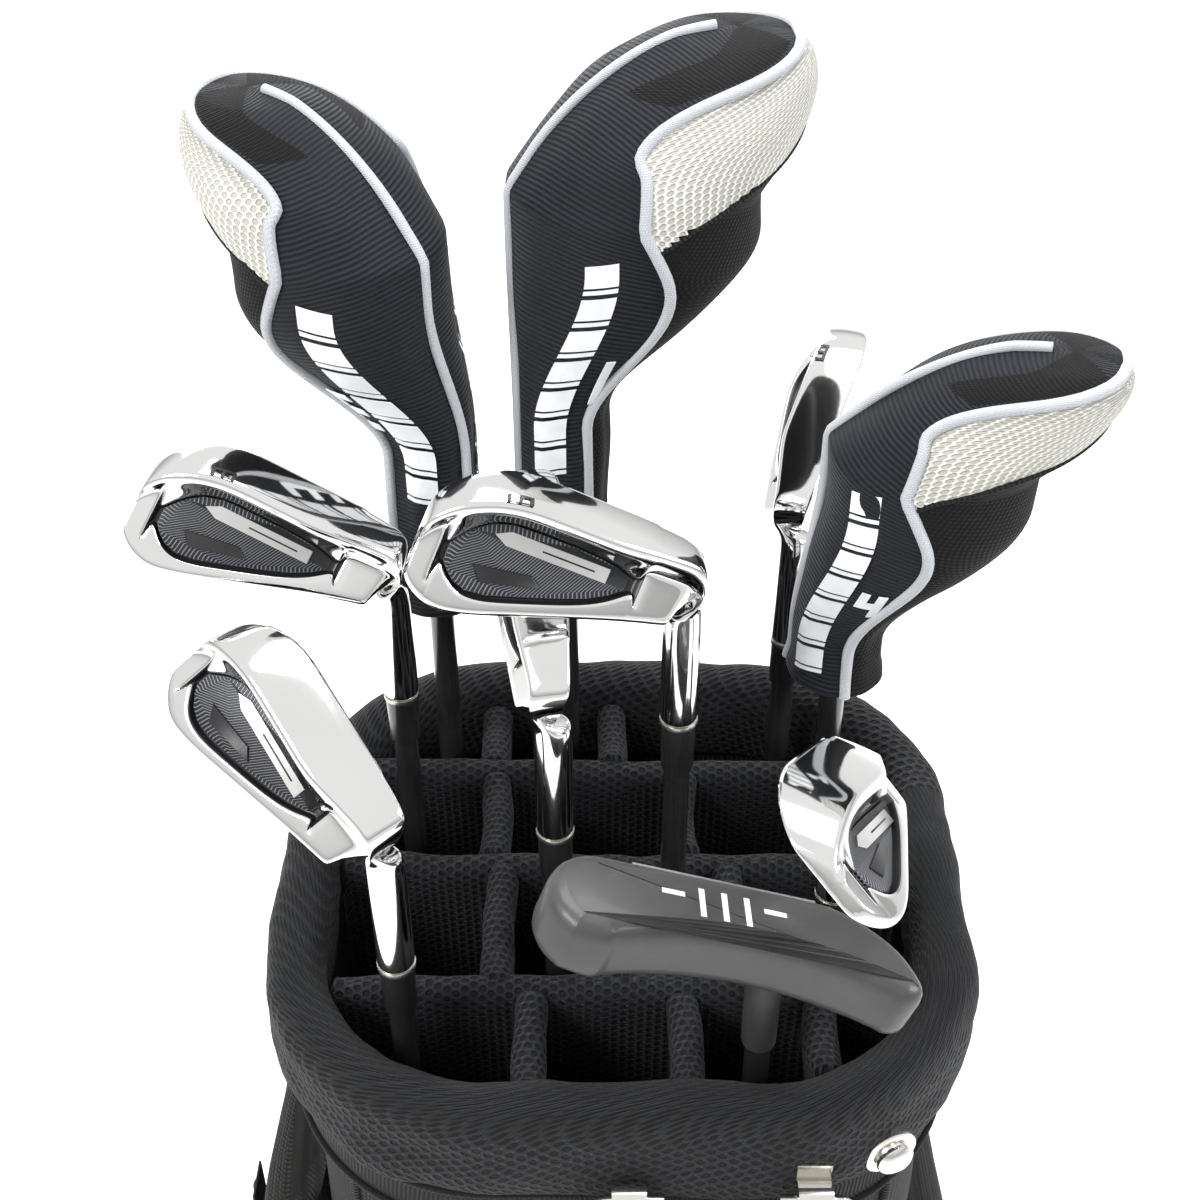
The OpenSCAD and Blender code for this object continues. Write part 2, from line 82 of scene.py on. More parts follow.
# iron: loft, face length at the toe, face length at the heel, sole width
IRONS = {
    "i6": (27, 55, 30, 19), "i7": (30, 56, 30.5, 19.5), "i8": (34, 57, 31, 20),
    "i9": (38, 58, 32, 20.5), "pw": (43, 60, 33, 21), "sw": (55, 62, 35, 24),
}
# headcover: width, depth and height of the head inside, length of the neck, number on it
COVERS = {"driver": (100, 84, 52, 170, 1), "fairway": (82, 68, 40, 165, 3), "hybrid": (84, 58, 36, 112, 4)}
# how far the shaft's end stops short of the club's length
SHAFT_GAP = {**dict.fromkeys(IRONS, 43), **dict.fromkeys(COVERS, 34), "putter": 36}


def club_frame(club):
    """Matrix from the club's own frame, in millimetres with its end at z 0, to the row frame."""
    x, y, heading = PLACES[club]
    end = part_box(club + "_shaft")[1].z / MM + SHAFT_GAP[club]
    place = Matrix.Translation((x, y, end)) @ Matrix.Rotation(math.radians(heading), 4, "Z")
    return np.array(Matrix.Scale(MM, 4) @ place)


def to_row(points, matrix):
    flat = np.asarray(points, float)
    return flat @ matrix[:3, :3].T + matrix[:3, 3]


def address(points, lie):
    """From the address frame (toe, forward, up) to the club's frame."""
    p = np.asarray(points, float)
    s, c = math.sin(lie), math.cos(lie)
    return np.stack([p[..., 0] * s + p[..., 2] * c, -p[..., 1], p[..., 0] * c - p[..., 2] * s], -1)


def aim(normal, matrix):
    """Unit direction in the row frame of a direction in the club's frame."""
    turned = matrix[:3, :3] @ normal
    return turned / np.linalg.norm(turned)


def mix(a, b, t):
    return a + (b - a) * t


def ease(t):
    return t * t * (3 - 2 * t)


# --- materials
class Shader:
    """A Principled material with short calls for the nodes that feed it."""

    def __init__(self, name, roughness=0.6, metallic=0.0, **fixed):
        self.mat = bpy.data.materials.new(name)
        self.mat.use_nodes = True
        self.tree = self.mat.node_tree
        self.bsdf = self.tree.nodes["Principled BSDF"]
        self.put(self.bsdf, Roughness=roughness, Metallic=metallic, **fixed)

    def feed(self, socket, value):
        """Links the socket to another one, or sets it to a constant."""
        if isinstance(value, bpy.types.NodeSocket):
            self.tree.links.new(value, socket)
        else:
            socket.default_value = value

    def put(self, node, **values):
        for key, value in values.items():
            self.feed(node.inputs[key.replace("_", " ")], value)
        return node

    def node(self, kind, **values):
        return self.put(self.tree.nodes.new("ShaderNode" + kind), **values)

    def coords(self, uv, turn=0.0):
        """Texture place: UVs in metres, or the object's own coordinates."""
        source = self.node("TexCoord").outputs["UV" if uv else "Object"]
        return self.node("Mapping", Vector=source, Rotation=(0, 0, turn)).outputs[0]

    def step(self, kind, operation, a, b):
        node = self.node(kind)
        node.operation = operation
        self.feed(node.inputs[0], a)
        self.feed(node.inputs[1], b)
        return node

    def math(self, operation, a, b=0.0, clamp=False):
        node = self.step("Math", operation, a, b)
        node.use_clamp = clamp
        return node.outputs[0]

    def vmath(self, operation, a, b=(0, 0, 0)):
        node = self.step("VectorMath", operation, a, b)
        return node.outputs["Value" if operation == "LENGTH" else "Vector"]

    def noise(self, vector, scale, detail=3.0):
        return self.node("TexNoise", Vector=vector, Scale=scale, Detail=detail).outputs[0]

    def ramp(self, value, low, high):
        """Value stretched so that low gives 0 and high gives 1."""
        node = self.node("MapRange", Value=value, From_Min=low, From_Max=high)
        node.clamp = True
        return node.outputs[0]

    def blend(self, factor, a, b):
        """Colour a where the factor is 0 and colour b where it is 1."""
        node = self.node("Mix")
        node.data_type = "RGBA"
        self.feed(node.inputs[0], factor)
        self.feed(node.inputs[6], (*a, 1))
        self.feed(node.inputs[7], (*b, 1))
        return node.outputs[2]

    def bump(self, height, depth):
        node = self.node("Bump", Height=height, Distance=depth, Strength=1.0)
        self.feed(self.bsdf.inputs["Normal"], node.outputs[0])

    def stagger(self, vector, pitch, tall=1.732):
        """Distance to the nearest of a staggered grid of points, in parts of the pitch."""
        cell = self.vmath("MULTIPLY", vector, (1 / pitch, 1 / (pitch * tall), 0))
        parts = []
        for shift in (0.0, 0.5):
            local = self.vmath("FRACTION", self.vmath("ADD", cell, (shift + 100, shift + 100, 0)))
            centred = self.vmath("SUBTRACT", local, (0.5, 0.5, 0))
            parts.append(self.vmath("LENGTH", self.vmath("MULTIPLY", centred, (1, tall, 0))))
        return self.math("MINIMUM", *parts)

    def lines(self, vector, axis, pitch):
        """0 to 1 waves across one axis of the vector."""
        split = self.node("SeparateXYZ", Vector=vector)
        turns = self.math("MULTIPLY", split.outputs[axis], 2 * math.pi / pitch)
        return self.math("ADD", self.math("MULTIPLY", self.math("SINE", turns), 0.5), 0.5)


def cloth(name, light, dark, pattern, pitch, depth, roughness, tall=1.732):
    """Fabric with an uneven tone: air mesh, weave, ribs or knit, with the pitch in millimetres."""
    s = Shader(name, roughness, Sheen_Weight=0.04, Sheen_Roughness=0.4, Specular_IOR_Level=0.22)
    where = s.coords(True)
    pitch *= MM
    if pattern == "mesh":
        height = s.ramp(s.stagger(where, pitch, tall), 0.24, 0.42)
    elif pattern == "ribs":
        height = s.lines(where, 1, pitch)
    elif pattern == "knit":
        height = s.math("MULTIPLY", s.lines(s.coords(True, 0.5), 0, pitch), s.lines(where, 1, pitch))
    else:
        warp = s.math("MULTIPLY", s.lines(where, 0, pitch), s.lines(where, 1, pitch))
        weft = s.math("MULTIPLY", s.lines(s.coords(True, math.pi / 2), 0, 2 * pitch), 0.3)
        height = s.math("ADD", warp, weft)
    tone = s.math("MULTIPLY", s.noise(where, 55.0, 4.0), 0.8)
    shade = s.math("MULTIPLY", height, s.math("ADD", tone, 0.5), clamp=True)
    s.put(s.bsdf, Base_Color=s.blend(shade, dark, light))
    s.bump(s.math("ADD", height, s.math("MULTIPLY", s.noise(where, 900.0), 0.35)), depth)
    return s.mat


def metal(name, colour, roughness, smear, depth=0.00001, grain=30.0):
    s = Shader(name, roughness, 1.0)
    where = s.coords(False)
    marks = s.noise(where, grain, 6.0)
    s.put(s.bsdf, Roughness=s.math("ADD", s.math("MULTIPLY", marks, smear), roughness))
    tint = tuple(c * 0.93 for c in colour)
    s.put(s.bsdf, Base_Color=s.blend(s.ramp(s.noise(where, 12.0), 0.35, 0.65), tint, colour))
    s.bump(s.noise(where, 260.0, 2.0), depth)
    return s.mat


def moulded(name, colour, roughness, grain=1500.0, depth=0.00006, coat=0.0, streak=0.25):
    s = Shader(name, roughness, Coat_Weight=coat, Coat_Roughness=0.12)
    where = s.coords(False)
    worn = tuple(min(1, c * 1.35 + 0.006) for c in colour)
    smear = s.math("MULTIPLY", s.noise(where, 90.0), streak)
    s.put(s.bsdf, Base_Color=s.blend(s.ramp(s.noise(where, 40.0, 5.0), 0.4, 0.7), colour, worn))
    s.put(s.bsdf, Roughness=s.math("ADD", smear, roughness - streak / 2))
    s.bump(s.noise(where, grain, 2.0), depth)
    return s.mat


def honeycomb(name):
    """Dark badge plate with a raised net of small six-sided cells."""
    s = Shader(name, 0.42, 0.4)
    cell = s.ramp(s.stagger(s.coords(True), 1.5 * MM), 0.30, 0.44)
    s.put(s.bsdf, Base_Color=s.blend(cell, (0.02, 0.022, 0.026), (0.22, 0.23, 0.25)))
    s.bump(cell, 0.0003)
    return s.mat


MESH_HOLE = (0.0015, 0.0015, 0.002)
# name, light tone, dark tone, pattern, its pitch in millimetres, relief, roughness
CLOTHS = {
    "rim": ("air_mesh_black", (0.013, 0.014, 0.017), MESH_HOLE, "mesh", 4.4, 0.0014, 0.72),
    "divider": ("air_mesh_divider", (0.012, 0.013, 0.017), MESH_HOLE, "mesh", 3.8, 0.0012, 0.75),
    "body": ("woven_body", (0.026, 0.025, 0.024), (0.003, 0.003, 0.003), "weave", 2.2, 0.0005, 0.8),
    "webbing": ("webbing", (0.016, 0.016, 0.017), (0.003, 0.003, 0.003), "ribs", 1.8, 0.0004, 0.75),
    "grip_cloth": ("handle_webbing", (0.022, 0.022, 0.023), (0.002, 0.002, 0.002), "knit", 2.6, 0.0006, 0.7),
    "panel": ("cover_ribbed", (0.013, 0.016, 0.023), (0.003, 0.0035, 0.005), "ribs", 1.9, 0.0004, 0.7),
    "neoprene": ("cover_black", (0.006, 0.006, 0.007), (0.002, 0.002, 0.002), "knit", 1.7, 0.0003, 0.85),
    "white_mesh": ("cover_white_mesh", (0.86, 0.85, 0.80), (0.42, 0.41, 0.36), "mesh", 3.6, 0.0007, 0.7, 1.3),
    "piping": ("piping_grey", (0.62, 0.64, 0.67), (0.42, 0.44, 0.47), "knit", 0.9, 0.0002, 0.5),
}
# name, colour, roughness, grain, relief, coat, streaks
MOULDED = {
    "print": ("print_white", (0.66, 0.68, 0.70), 0.5, 3000, 0.00002, 0.0, 0.1),
    "cavity": ("cavity_paint", (0.006, 0.006, 0.007), 0.36),
    "shaft": ("shaft_lacquer", (0.012, 0.012, 0.013), 0.22, 2500, 0.00001, 0.8, 0.1),
    "ferrule": ("ferrule_black", (0.010, 0.010, 0.011), 0.24, 2500, 0.00001, 0.6, 0.1),
    "rubber": ("grip_rubber", (0.018, 0.018, 0.019), 0.75, 700, 0.0004),
    "putter": ("putter_coating", (0.034, 0.034, 0.035), 0.44, 2600, 0.00005, 0.15, 0.12),
    "paint": ("wood_paint", (0.014, 0.014, 0.016), 0.18, 2500, 0.00001, 1.0, 0.1),
    "plastic": ("base_plastic", (0.022, 0.022, 0.024), 0.55, 900, 0.0003),
    "zip": ("zip_teeth", (0.014, 0.014, 0.015), 0.28, 1500, 0.00005, 0.4),
}
# name, colour, roughness, smears, relief, grain
METALS = {
    "chrome": ("polished_chrome", (0.80, 0.80, 0.79), 0.045, 0.05),
    "satin": ("satin_steel", (0.70, 0.70, 0.69), 0.26, 0.12, 0.00002, 180.0),
    "ring": ("ferrule_ring", (0.62, 0.60, 0.55), 0.22, 0.1),
    "insert": ("putter_insert", (0.35, 0.35, 0.37), 0.35, 0.1, 0.00003, 200.0),
    "trim": ("trim_nickel", (0.78, 0.76, 0.72), 0.12, 0.08),
}
MAT = {"badge": honeycomb("badge_honeycomb")}
for maker, table in ((cloth, CLOTHS), (moulded, MOULDED), (metal, METALS)):
    MAT.update({key: maker(*row) for key, row in table.items()})


# --- mesh helpers
def mesh_object(name, points, faces, uvs=None, picks=None, sharp=None):
    mesh = bpy.data.meshes.new(name)
    mesh.from_pydata([tuple(p) for p in points], [], faces)
    if picks is not None:
        mesh.polygons.foreach_set("material_index", picks)
    if uvs is not None:
        mesh.uv_layers.new(name="metres").data.foreach_set("uv", np.asarray(uvs, np.float32).ravel())
    obj = bpy.data.objects.new(name, mesh)
    bpy.context.scene.collection.objects.link(obj)
    bm = bmesh.new()
    bm.from_mesh(mesh)
    bmesh.ops.recalc_face_normals(bm, faces=bm.faces)
    bm.to_mesh(mesh)
    bm.free()
    mesh.polygons.foreach_set("use_smooth", [True] * len(mesh.polygons))
    if sharp:
        mesh.set_sharp_from_angle(angle=math.radians(sharp))
    mesh.update()
    return obj


def surface(name, grid, along=False, pick=None, sharp=None):
    """Mesh over grid[row, column], UVs in metres. Rows are closed; along joins the last row to the first."""
    g = np.asarray(grid, float)
    rows, cols = g.shape[:2]
    wide = np.concatenate([g, g[:, :1]], 1)
    tall = np.concatenate([g, g[:1]], 0) if along else g
    steps_u = np.linalg.norm(np.diff(wide, axis=1), axis=2)
    steps_v = np.linalg.norm(np.diff(tall, axis=0), axis=2)
    u = np.concatenate([np.zeros((rows, 1)), np.cumsum(steps_u, 1)], 1)
    v = np.concatenate([np.zeros((1, cols)), np.cumsum(steps_v, 0)], 0)
    faces, uvs, picks = [], [], []
    for i in range(len(tall) - 1):
        for j in range(cols):
            i1, j1 = (i + 1) % rows, (j + 1) % cols
            faces.append((i * cols + j, i * cols + j1, i1 * cols + j1, i1 * cols + j))
            uvs += [(u[i, j], v[i, j]), (u[i, j + 1], v[i, j1])]
            uvs += [(u[i1, j + 1], v[i + 1, j1]), (u[i1, j], v[i + 1, j])]
            picks.append(pick(i, j) if pick else 0)
    if not along:
        for row in (0, rows - 1):
            faces.append(tuple(range(row * cols, (row + 1) * cols)))
            uvs += [(u[row, j], v[row, j]) for j in range(cols)]
            picks.append(picks[-1] if row else picks[0])
    return mesh_object(name, g.reshape(-1, 3), faces, uvs, picks, sharp)


def ruffle(g, depth, size, seed, along=False):
    """Pushes a grid of points in and out by smooth noise."""
    du = np.roll(g, -1, 1) - np.roll(g, 1, 1)
    dv = np.roll(g, -1, 0) - np.roll(g, 1, 0) if along else np.gradient(g, axis=0)
    n = np.cross(du, dv)
    n /= np.maximum(np.linalg.norm(n, axis=2, keepdims=True), 1e-12)
    shift = Vector((seed, seed * 0.7, seed * 0.3))
    push = np.array([[noise.noise(Vector(p) / size + shift) for p in row] for row in g])
    return g + n * (push * depth)[..., None]


def spline(points, count, closed=False):
    """Smooth curve through the points, evenly spaced in parameter."""
    p = np.asarray(points, float)
    k = len(p)
    spans = k if closed else k - 1
    out = []
    for t in np.linspace(0, spans, count, endpoint=not closed):
        i = min(int(t), spans - 1)
        f = t - i
        a, b, c, d = (p[(i + s) % k] if closed else p[min(max(i + s, 0), k - 1)] for s in (-1, 0, 1, 2))
        square, cube = 2 * a - 5 * b + 4 * c - d, 3 * b - 3 * c + d - a
        out.append(0.5 * (2 * b + (c - a) * f + square * f ** 2 + cube * f ** 3))
    return np.array(out)


def tube(name, points, radius, sides=10, closed=False, squash=1.0):
    """Round tube along points; radius is one number or one for each point."""
    p = np.asarray(points, float)
    tangent = np.roll(p, -1, 0) - np.roll(p, 1, 0) if closed else np.gradient(p, axis=0)
    tangent /= np.linalg.norm(tangent, axis=1, keepdims=True)
    normal = np.cross(tangent[0], (0.31, 0.17, 0.93))
    frames = []
    for t in tangent:
        normal = normal - t * (normal @ t)
        normal /= np.linalg.norm(normal)
        frames.append(normal)
    side = np.array(frames)
    other = np.cross(tangent, side)
    r = np.broadcast_to(np.asarray(radius, float), len(p))[:, None, None]
    a = np.linspace(0, 2 * math.pi, sides, endpoint=False)[None, :, None]
    grid = p[:, None] + r * (np.cos(a) * side[:, None] + squash * np.sin(a) * other[:, None])
    return surface(name, grid, along=closed, sharp=50)


def lathe(name, profile, matrix, sides=48, sharp=35):
    """Turned piece: profile is (radius, height) pairs in millimetres about the matrix's Z."""
    a = np.linspace(0, 2 * math.pi, sides, endpoint=False)
    grid = [[(r * math.cos(t), r * math.sin(t), z) for t in a] for r, z in profile]
    return surface(name, to_row(grid, matrix), sharp=sharp)


def dress(obj, body, slot, *mats, stands_for=()):
    for name in mats:
        obj.data.materials.append(MAT[name])
    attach(obj, body)
    if stands_for:
        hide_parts(*stands_for)
    return obj


def subdivide(obj, levels=1):
    mod = obj.modifiers.new("smooth", "SUBSURF")
    mod.levels = mod.render_levels = levels
    return obj


def rounded(w, d, r, step=3.0):
    """Points and outward normals round a rounded rectangle, in millimetres."""
    centres = np.array([(1, 1), (-1, 1), (-1, -1), (1, -1)]) * (w / 2 - r, d / 2 - r)
    arc = max(4, round(r * math.pi / 2 / step))
    points, outs = [], []
    for k, centre in enumerate(centres):
        for a in np.radians(np.linspace(90 * k, 90 * k + 90, arc)):
            outs.append((math.cos(a), math.sin(a)))
            points.append(centre + r * np.array(outs[-1]))
        begin, end = points[-1], centres[(k + 1) % 4] + r * np.array(outs[-1])
        gaps = max(1, round(np.linalg.norm(end - begin) / step))
        for t in np.arange(1, gaps) / gaps:
            points.append(mix(begin, end, t))
            outs.append(outs[-1])
    return np.array(points), np.array(outs)


def collar(path, outs, profile):
    """Grid of a closed band: profile is (outward, up) pairs in millimetres, swept round the path."""
    prof = np.asarray(profile, float)
    flat = path[:, None] + outs[:, None] * prof[None, :, :1]
    z = np.broadcast_to(prof[None, :, 1:], (len(path), len(prof), 1))
    return np.concatenate([flat, z], 2) * MM


# --- decals
def strokes(name, quads, where, lift, body, slot, mat, cells=5):
    """Thin raised print: each quad of flat corners is laid on the surface that where(x, y) gives."""
    last, layer = cells - 1, cells * cells
    patch = [i * cells + j for i in range(last) for j in range(last)]
    rim = [*range(last), *range(last, layer - 1, cells), *range(layer - 1, cells * last, -1)]
    rim += range(cells * last, 0, -cells)
    steps = np.linspace(0, 1, cells)
    points, faces = [], []
    for quad in quads:
        a, b, c, d = (np.array(q, float) for q in quad)
        base, top = len(points), len(points) + layer
        for k in patch:
            faces += [tuple(start + k + s for s in (0, 1, cells + 1, cells)) for start in (base, top)]
        faces += [(base + k, base + m, top + m, top + k) for k, m in zip(rim, rim[1:] + rim[:1])]
        for height in (0.15, 1.0):
            for s in steps:
                for t in steps:
                    p, n = where(*mix(mix(a, b, t), mix(d, c, t), s))
                    points.append(p + n * lift * height)
    return dress(mesh_object(name, points, faces, sharp=40), body, slot, mat)


# bars of a block figure: a top, b and c right, d bottom, e and f left, g middle, u and l the halves of a one
SEGMENTS = {
    "1": "ul", "3": "abcdg", "4": "bcfg", "6": "acdefg", "7": "abc", "8": "abcdefg", "9": "abcdfg",
}


def figure(digit, w, h, t):
    """Quads of a block figure, w wide, h high, in strokes t thick."""
    x, y, m = w / 2, h / 2, t / 2
    bars = {
        "a": (-x, y - t, x, y), "d": (-x, -y, x, -y + t), "g": (-x, -m, x, m),
        "b": (x - t, m, x, y - t), "c": (x - t, -y + t, x, -m),
        "f": (-x, m, -x + t, y - t), "e": (-x, -y + t, -x + t, -m),
        "u": (-m, -m, m, y), "l": (-m, -y, m, -m),
    }
    return [[(a, b), (c, b), (c, d), (a, d)] for a, b, c, d in map(bars.get, SEGMENTS[digit])]


# --- bag
def welt(name, line, radius, closed=False):
    """Webbing cord along a seam of the bag, in millimetres."""
    cord = tube(name, np.array(line) * MM, radius * MM, 8, closed)
    dress(cord, "bag", "strap_web", "webbing")


def build_rim():
    path, outs = rounded(RIM_W, RIM_D, RIM_R, 4.0)
    outline = [(-7, -46), (-9.8, -32), (-11.2, -16), (-8.4, -4.6), (0, 0), (8, -3.6), (11.4, -12),
               (11.6, -24), (12.2, -34), (11, -43), (6.5, -47.4), (1, -47)]
    grid = collar(path, outs, spline([(o, RIM_Z + u) for o, u in outline], 56, True))
    grid = ruffle(grid, 0.0022, 0.035, 3, along=True)
    grid = ruffle(grid, 0.0007, 0.011, 8, along=True)
    roll = dress(surface("rim_roll", grid, along=True), "bag", "rim_mesh", "rim", stands_for=["rim_pad"])
    tape = [(1, -50), (4.4, -49), (4.8, -66), (4.2, -72), (1, -72)]
    band = collar(path, outs, [(o, RIM_Z + u) for o, u in tape])
    dress(surface("rim_band", band, along=True, sharp=40), "bag", "body_cloth", "webbing")
    for name, out, down, radius in (("rim_cord", 6.4, 49.6, 1.8), ("band_cord", 5.2, 71.5, 1.3)):
        ring = np.column_stack([path + outs * out, np.full(len(path), RIM_Z - down)])
        welt(name, ring, radius, True)
    stitches("rim_stitches", path, outs, 4.9, RIM_Z - 54.5)


def stitches(name, path, outs, out, z):
    """Row of short thread stitches round a closed outline."""
    closed = np.concatenate([path, path[:1]])
    both = np.concatenate([outs, outs[:1]])
    lengths = np.concatenate([[0], np.cumsum(np.linalg.norm(np.diff(closed, axis=0), axis=1))])
    gap, stitch = 5.0, 3.2
    prism = ((0, 1, 4, 3), (1, 2, 5, 4), (2, 0, 3, 5), (0, 2, 1), (3, 4, 5))
    points, faces = [], []
    for start in np.arange(0, lengths[-1] - 4, gap):
        faces += [tuple(len(points) + k for k in face) for face in prism]
        for s in (start, start + stitch):
            xy = np.array([np.interp(s, lengths, closed[:, k]) for k in (0, 1)])
            o = np.array([np.interp(s, lengths, both[:, k]) for k in (0, 1)])
            for dz, push in ((-0.45, 0), (0, 0.6), (0.45, 0)):
                points.append(np.append(xy + o * (out + push), z + dz) * MM)
    dress(mesh_object(name, points, faces), "bag", "strap_web", "webbing")


def build_shell():
    """Woven body tube with its own thickness, soft dents, a floor and vertical seams."""
    path, outs = rounded(RIM_W, RIM_D, RIM_R, 6.0)
    rows = np.concatenate([[FLOOR_Z, FLOOR_Z + 20], np.linspace(CUP_TOP, RIM_Z - 46, 70)])
    grid = collar(path, outs, [(0, z) for z in rows] + [(-WALL, z) for z in rows[::-1]])
    soft = ruffle(grid, 0.0028, 0.11, 5, along=True)
    z = grid[..., 2:]
    free = np.clip((z - 0.05) / 0.05, 0, 1) * np.clip((RIM_Z * MM - 0.05 - z) / 0.05, 0, 1)
    shell = surface("bag_shell", grid + (soft - grid) * free, along=True, sharp=60)
    dress(shell, "bag", "body_cloth", "body", stands_for=["bag_body"])

    low, high, inset = FLOOR_Z + 0.5, 12, RIM_R - 6
    edge = collar(path, outs, [(-WALL, low), (-WALL, high), (-inset, high), (-inset, low)])
    dress(surface("bag_floor_edge", edge, along=True), "bag", "body_cloth", "body")
    half_w, half_d = RIM_W / 2 - RIM_R, RIM_D / 2 - RIM_R
    corners = {"back_right": (1, 1), "back_left": (-1, 1), "front_left": (-1, -1), "front_right": (1, -1)}
    flat = [(x * (half_w + 7), y * (half_d + 7)) for x, y in corners.values()]
    floor = [[(*p, z) for p in flat] for z in (FLOOR_Z + 1, 11.5)]
    dress(surface("bag_floor", np.array(floor) * MM), "bag", "body_cloth", "body")
    arc = RIM_R * math.cos(math.radians(45)) + 0.8
    for name, (x, y) in sorted(corners.items(), reverse=True):
        seam = [(x * (half_w + arc), y * (half_d + arc), z) for z in np.linspace(CUP_TOP, RIM_Z - 73, 40)]
        welt("seam_" + name, seam, 1.9)


def reach(across, w, d, r):
    """Half the inside width of a rounded rectangle, at a distance from its middle."""
    flat = d / 2 - r
    if abs(across) <= flat:
        return w / 2
    return w / 2 - r + math.sqrt(max(0.0, r * r - (abs(across) - flat) ** 2))


def divider(name, start, end, seed):
    """Padded cloth wall: a fat roll on top that thins into a double layer hanging to the floor."""
    a, b = np.array(start, float), np.array(end, float)
    length = np.linalg.norm(b - a)
    along = (b - a) / length
    side = np.array([-along[1], along[0]])
    depths = [(0.0, 0), (3.6, 1.0), (5.9, 4.2), (6.4, 9), (5.8, 16), (4.6, 26), (3.4, 42), (2.6, 80),
              (2.2, 160), (1.8, 300), (1.5, 480), (1.2, 640), (1.0, RIM_Z - 21)]
    section = [(w, -z) for w, z in depths] + [(-w, -z) for w, z in depths[:0:-1]]
    grid = []
    for t in np.linspace(0, 1, max(6, round(length / 4))):
        sag = 2.6 * math.sin(math.pi * t) ** 0.8 + 0.7 * math.sin(2 * math.pi * t + seed)
        sway = 2.2 * math.sin(math.pi * t) * math.sin(seed * 2.1)
        row = []
        for w, z in section:
            p = a + along * length * t + side * (w + sway * math.exp(z / 220))
            row.append((p[0], p[1], RIM_Z - 8.6 + z - sag * math.exp(z / 90)))
        grid.append(row)
    grid = ruffle(np.array(grid) * MM, 0.0013, 0.013, seed)
    wall = dress(surface(name, grid, sharp=70), "bag", "divider_mesh", "divider")
    subdivide(wall)
    return wall


def build_dividers():
    w, d, r = RIM_W - 2 * RIM_TUBE + 4, RIM_D - 2 * RIM_TUBE + 4, RIM_R - RIM_TUBE + 2
    for k, y in enumerate(ROWS):
        x = reach(y, w, d, r)
        divider(f"divider_row_{k + 1}", (-x, y), (x, y), 1.3 * k + 0.6)
    edges = [None, *ROWS, None]
    for k, cells in enumerate(CELLS):
        for m, x in enumerate(cells):
            y = reach(x, d, w, r)
            low = -y if edges[k] is None else edges[k]
            high = y if edges[k + 1] is None else edges[k + 1]
            seed = 0.9 * k + 1.7 * m + 0.2
            divider(f"divider_cell_{k + 1}_{m + 1}", (x, low), (x, high), seed)
    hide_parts("dividers")


def pocket(name, node, outward, bulge):
    """Soft bellows pocket in the place of its CAD box: rounded ends, crowned face and piped edges."""
    lo, hi = (np.array(p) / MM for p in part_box(node))
    size, mid = hi - lo, (hi + lo) / 2
    face = 0 if abs(outward[0]) else 1
    sign = outward[face]
    path, outs = rounded(size[0], size[1], min(size[:2]) * 0.42, 4.0)
    facing = outs[:, face] * sign
    wave = np.maximum(0, facing)
    wave = wave * np.cos(path[:, 1 - face] / size[1 - face] * math.pi * 0.9)
    back = sign * size[face] / 2
    grid = []
    for t in np.linspace(-1, 1, 60):
        end = (1 - abs(t) ** 7) ** (1 / 2.4)
        row = path.copy()
        row[:, face] = (path[:, face] + back) * mix(0.55, 1.0, end) - back + sign * bulge * (1 - t * t) * wave
        row[:, 1 - face] = path[:, 1 - face] * mix(0.86, 1.0, end)
        grid.append(np.column_stack([row + mid[:2], np.full(len(row), mid[2] + t * size[2] / 2)]))
    grid = ruffle(np.array(grid) * MM, 0.0022, 0.045, size[2] * 0.01)
    dress(surface(name, grid, sharp=70), "bag", "body_cloth", "body", stands_for=[node])
    near = np.abs(facing - 0.72)
    for tag, half in (("a", outs[:, 1 - face] > 0), ("b", outs[:, 1 - face] < 0)):
        j = int(np.argmin(np.where(half, near, 9)))
        welt(f"{name}_piping_{tag}", grid[2:-2, j] / MM + np.array([*outs[j], 0]) * 0.6, 2.0)


def zipper(name, start, end, out):
    """Tape, two rows of teeth and a slider with a pull tab, from start to end in millimetres."""
    a, b, o = (np.array(p, float) for p in (start, end, out))
    length = np.linalg.norm(b - a)
    along = (b - a) / length
    side = np.cross(along, o)
    pitch = 2.6
    block = [(x, y, z) for x in (-0.9, 0.9) for y in (-1.5, 1.5) for z in (-0.8, 0.7)]
    box = ((0, 1, 3, 2), (4, 6, 7, 5), (0, 4, 5, 1), (2, 3, 7, 6), (0, 2, 6, 4), (1, 5, 7, 3))
    points, faces = [], []
    for k in range(int(length / pitch)):
        for s in (-1, 1):
            faces += [tuple(len(points) + i for i in face) for face in box]
            centre = a + along * (k * pitch + (pitch / 2 if s > 0 else 0)) + side * s * 0.9 + o
            for x, y, z in block:
                narrow, slim = (0.8, 0.85) if z > 0 else (1, 1)
                points.append((centre + along * x * narrow + side * y * slim + o * z) * MM)
    dress(mesh_object(name + "_teeth", points, faces, sharp=30), "bag", "zip", "zip")
    section = ((-9, -0.5), (-9, 0.4), (9, 0.4), (9, -0.5))
    tape = [[(mix(a, b, t) + side * w + o * h) * MM for w, h in section] for t in np.linspace(0, 1, 60)]
    dress(surface(name + "_tape", tape, sharp=40), "bag", "zip", "webbing")
    stop = mix(a, b, 0.93)
    loop = [stop + o * 2.4 + side * 3.2 * math.sin(t) + along * (-9 + 9 * math.cos(t))
            for t in np.linspace(0, 2 * math.pi, 28, endpoint=False)]
    dress(tube(name + "_puller", np.array(loop) * MM, 1.1 * MM, 8, True), "bag", "trim_metal", "trim")
    slide = np.array([stop + o * 1.6 + along * t for t in (-1, 0, 4, 8, 9)]) * MM
    slider = tube(name + "_slider", slide, np.array([1.5, 3, 3.4, 3, 1.5]) * MM, 10, False, 0.5)
    dress(slider, "bag", "trim_metal", "trim")


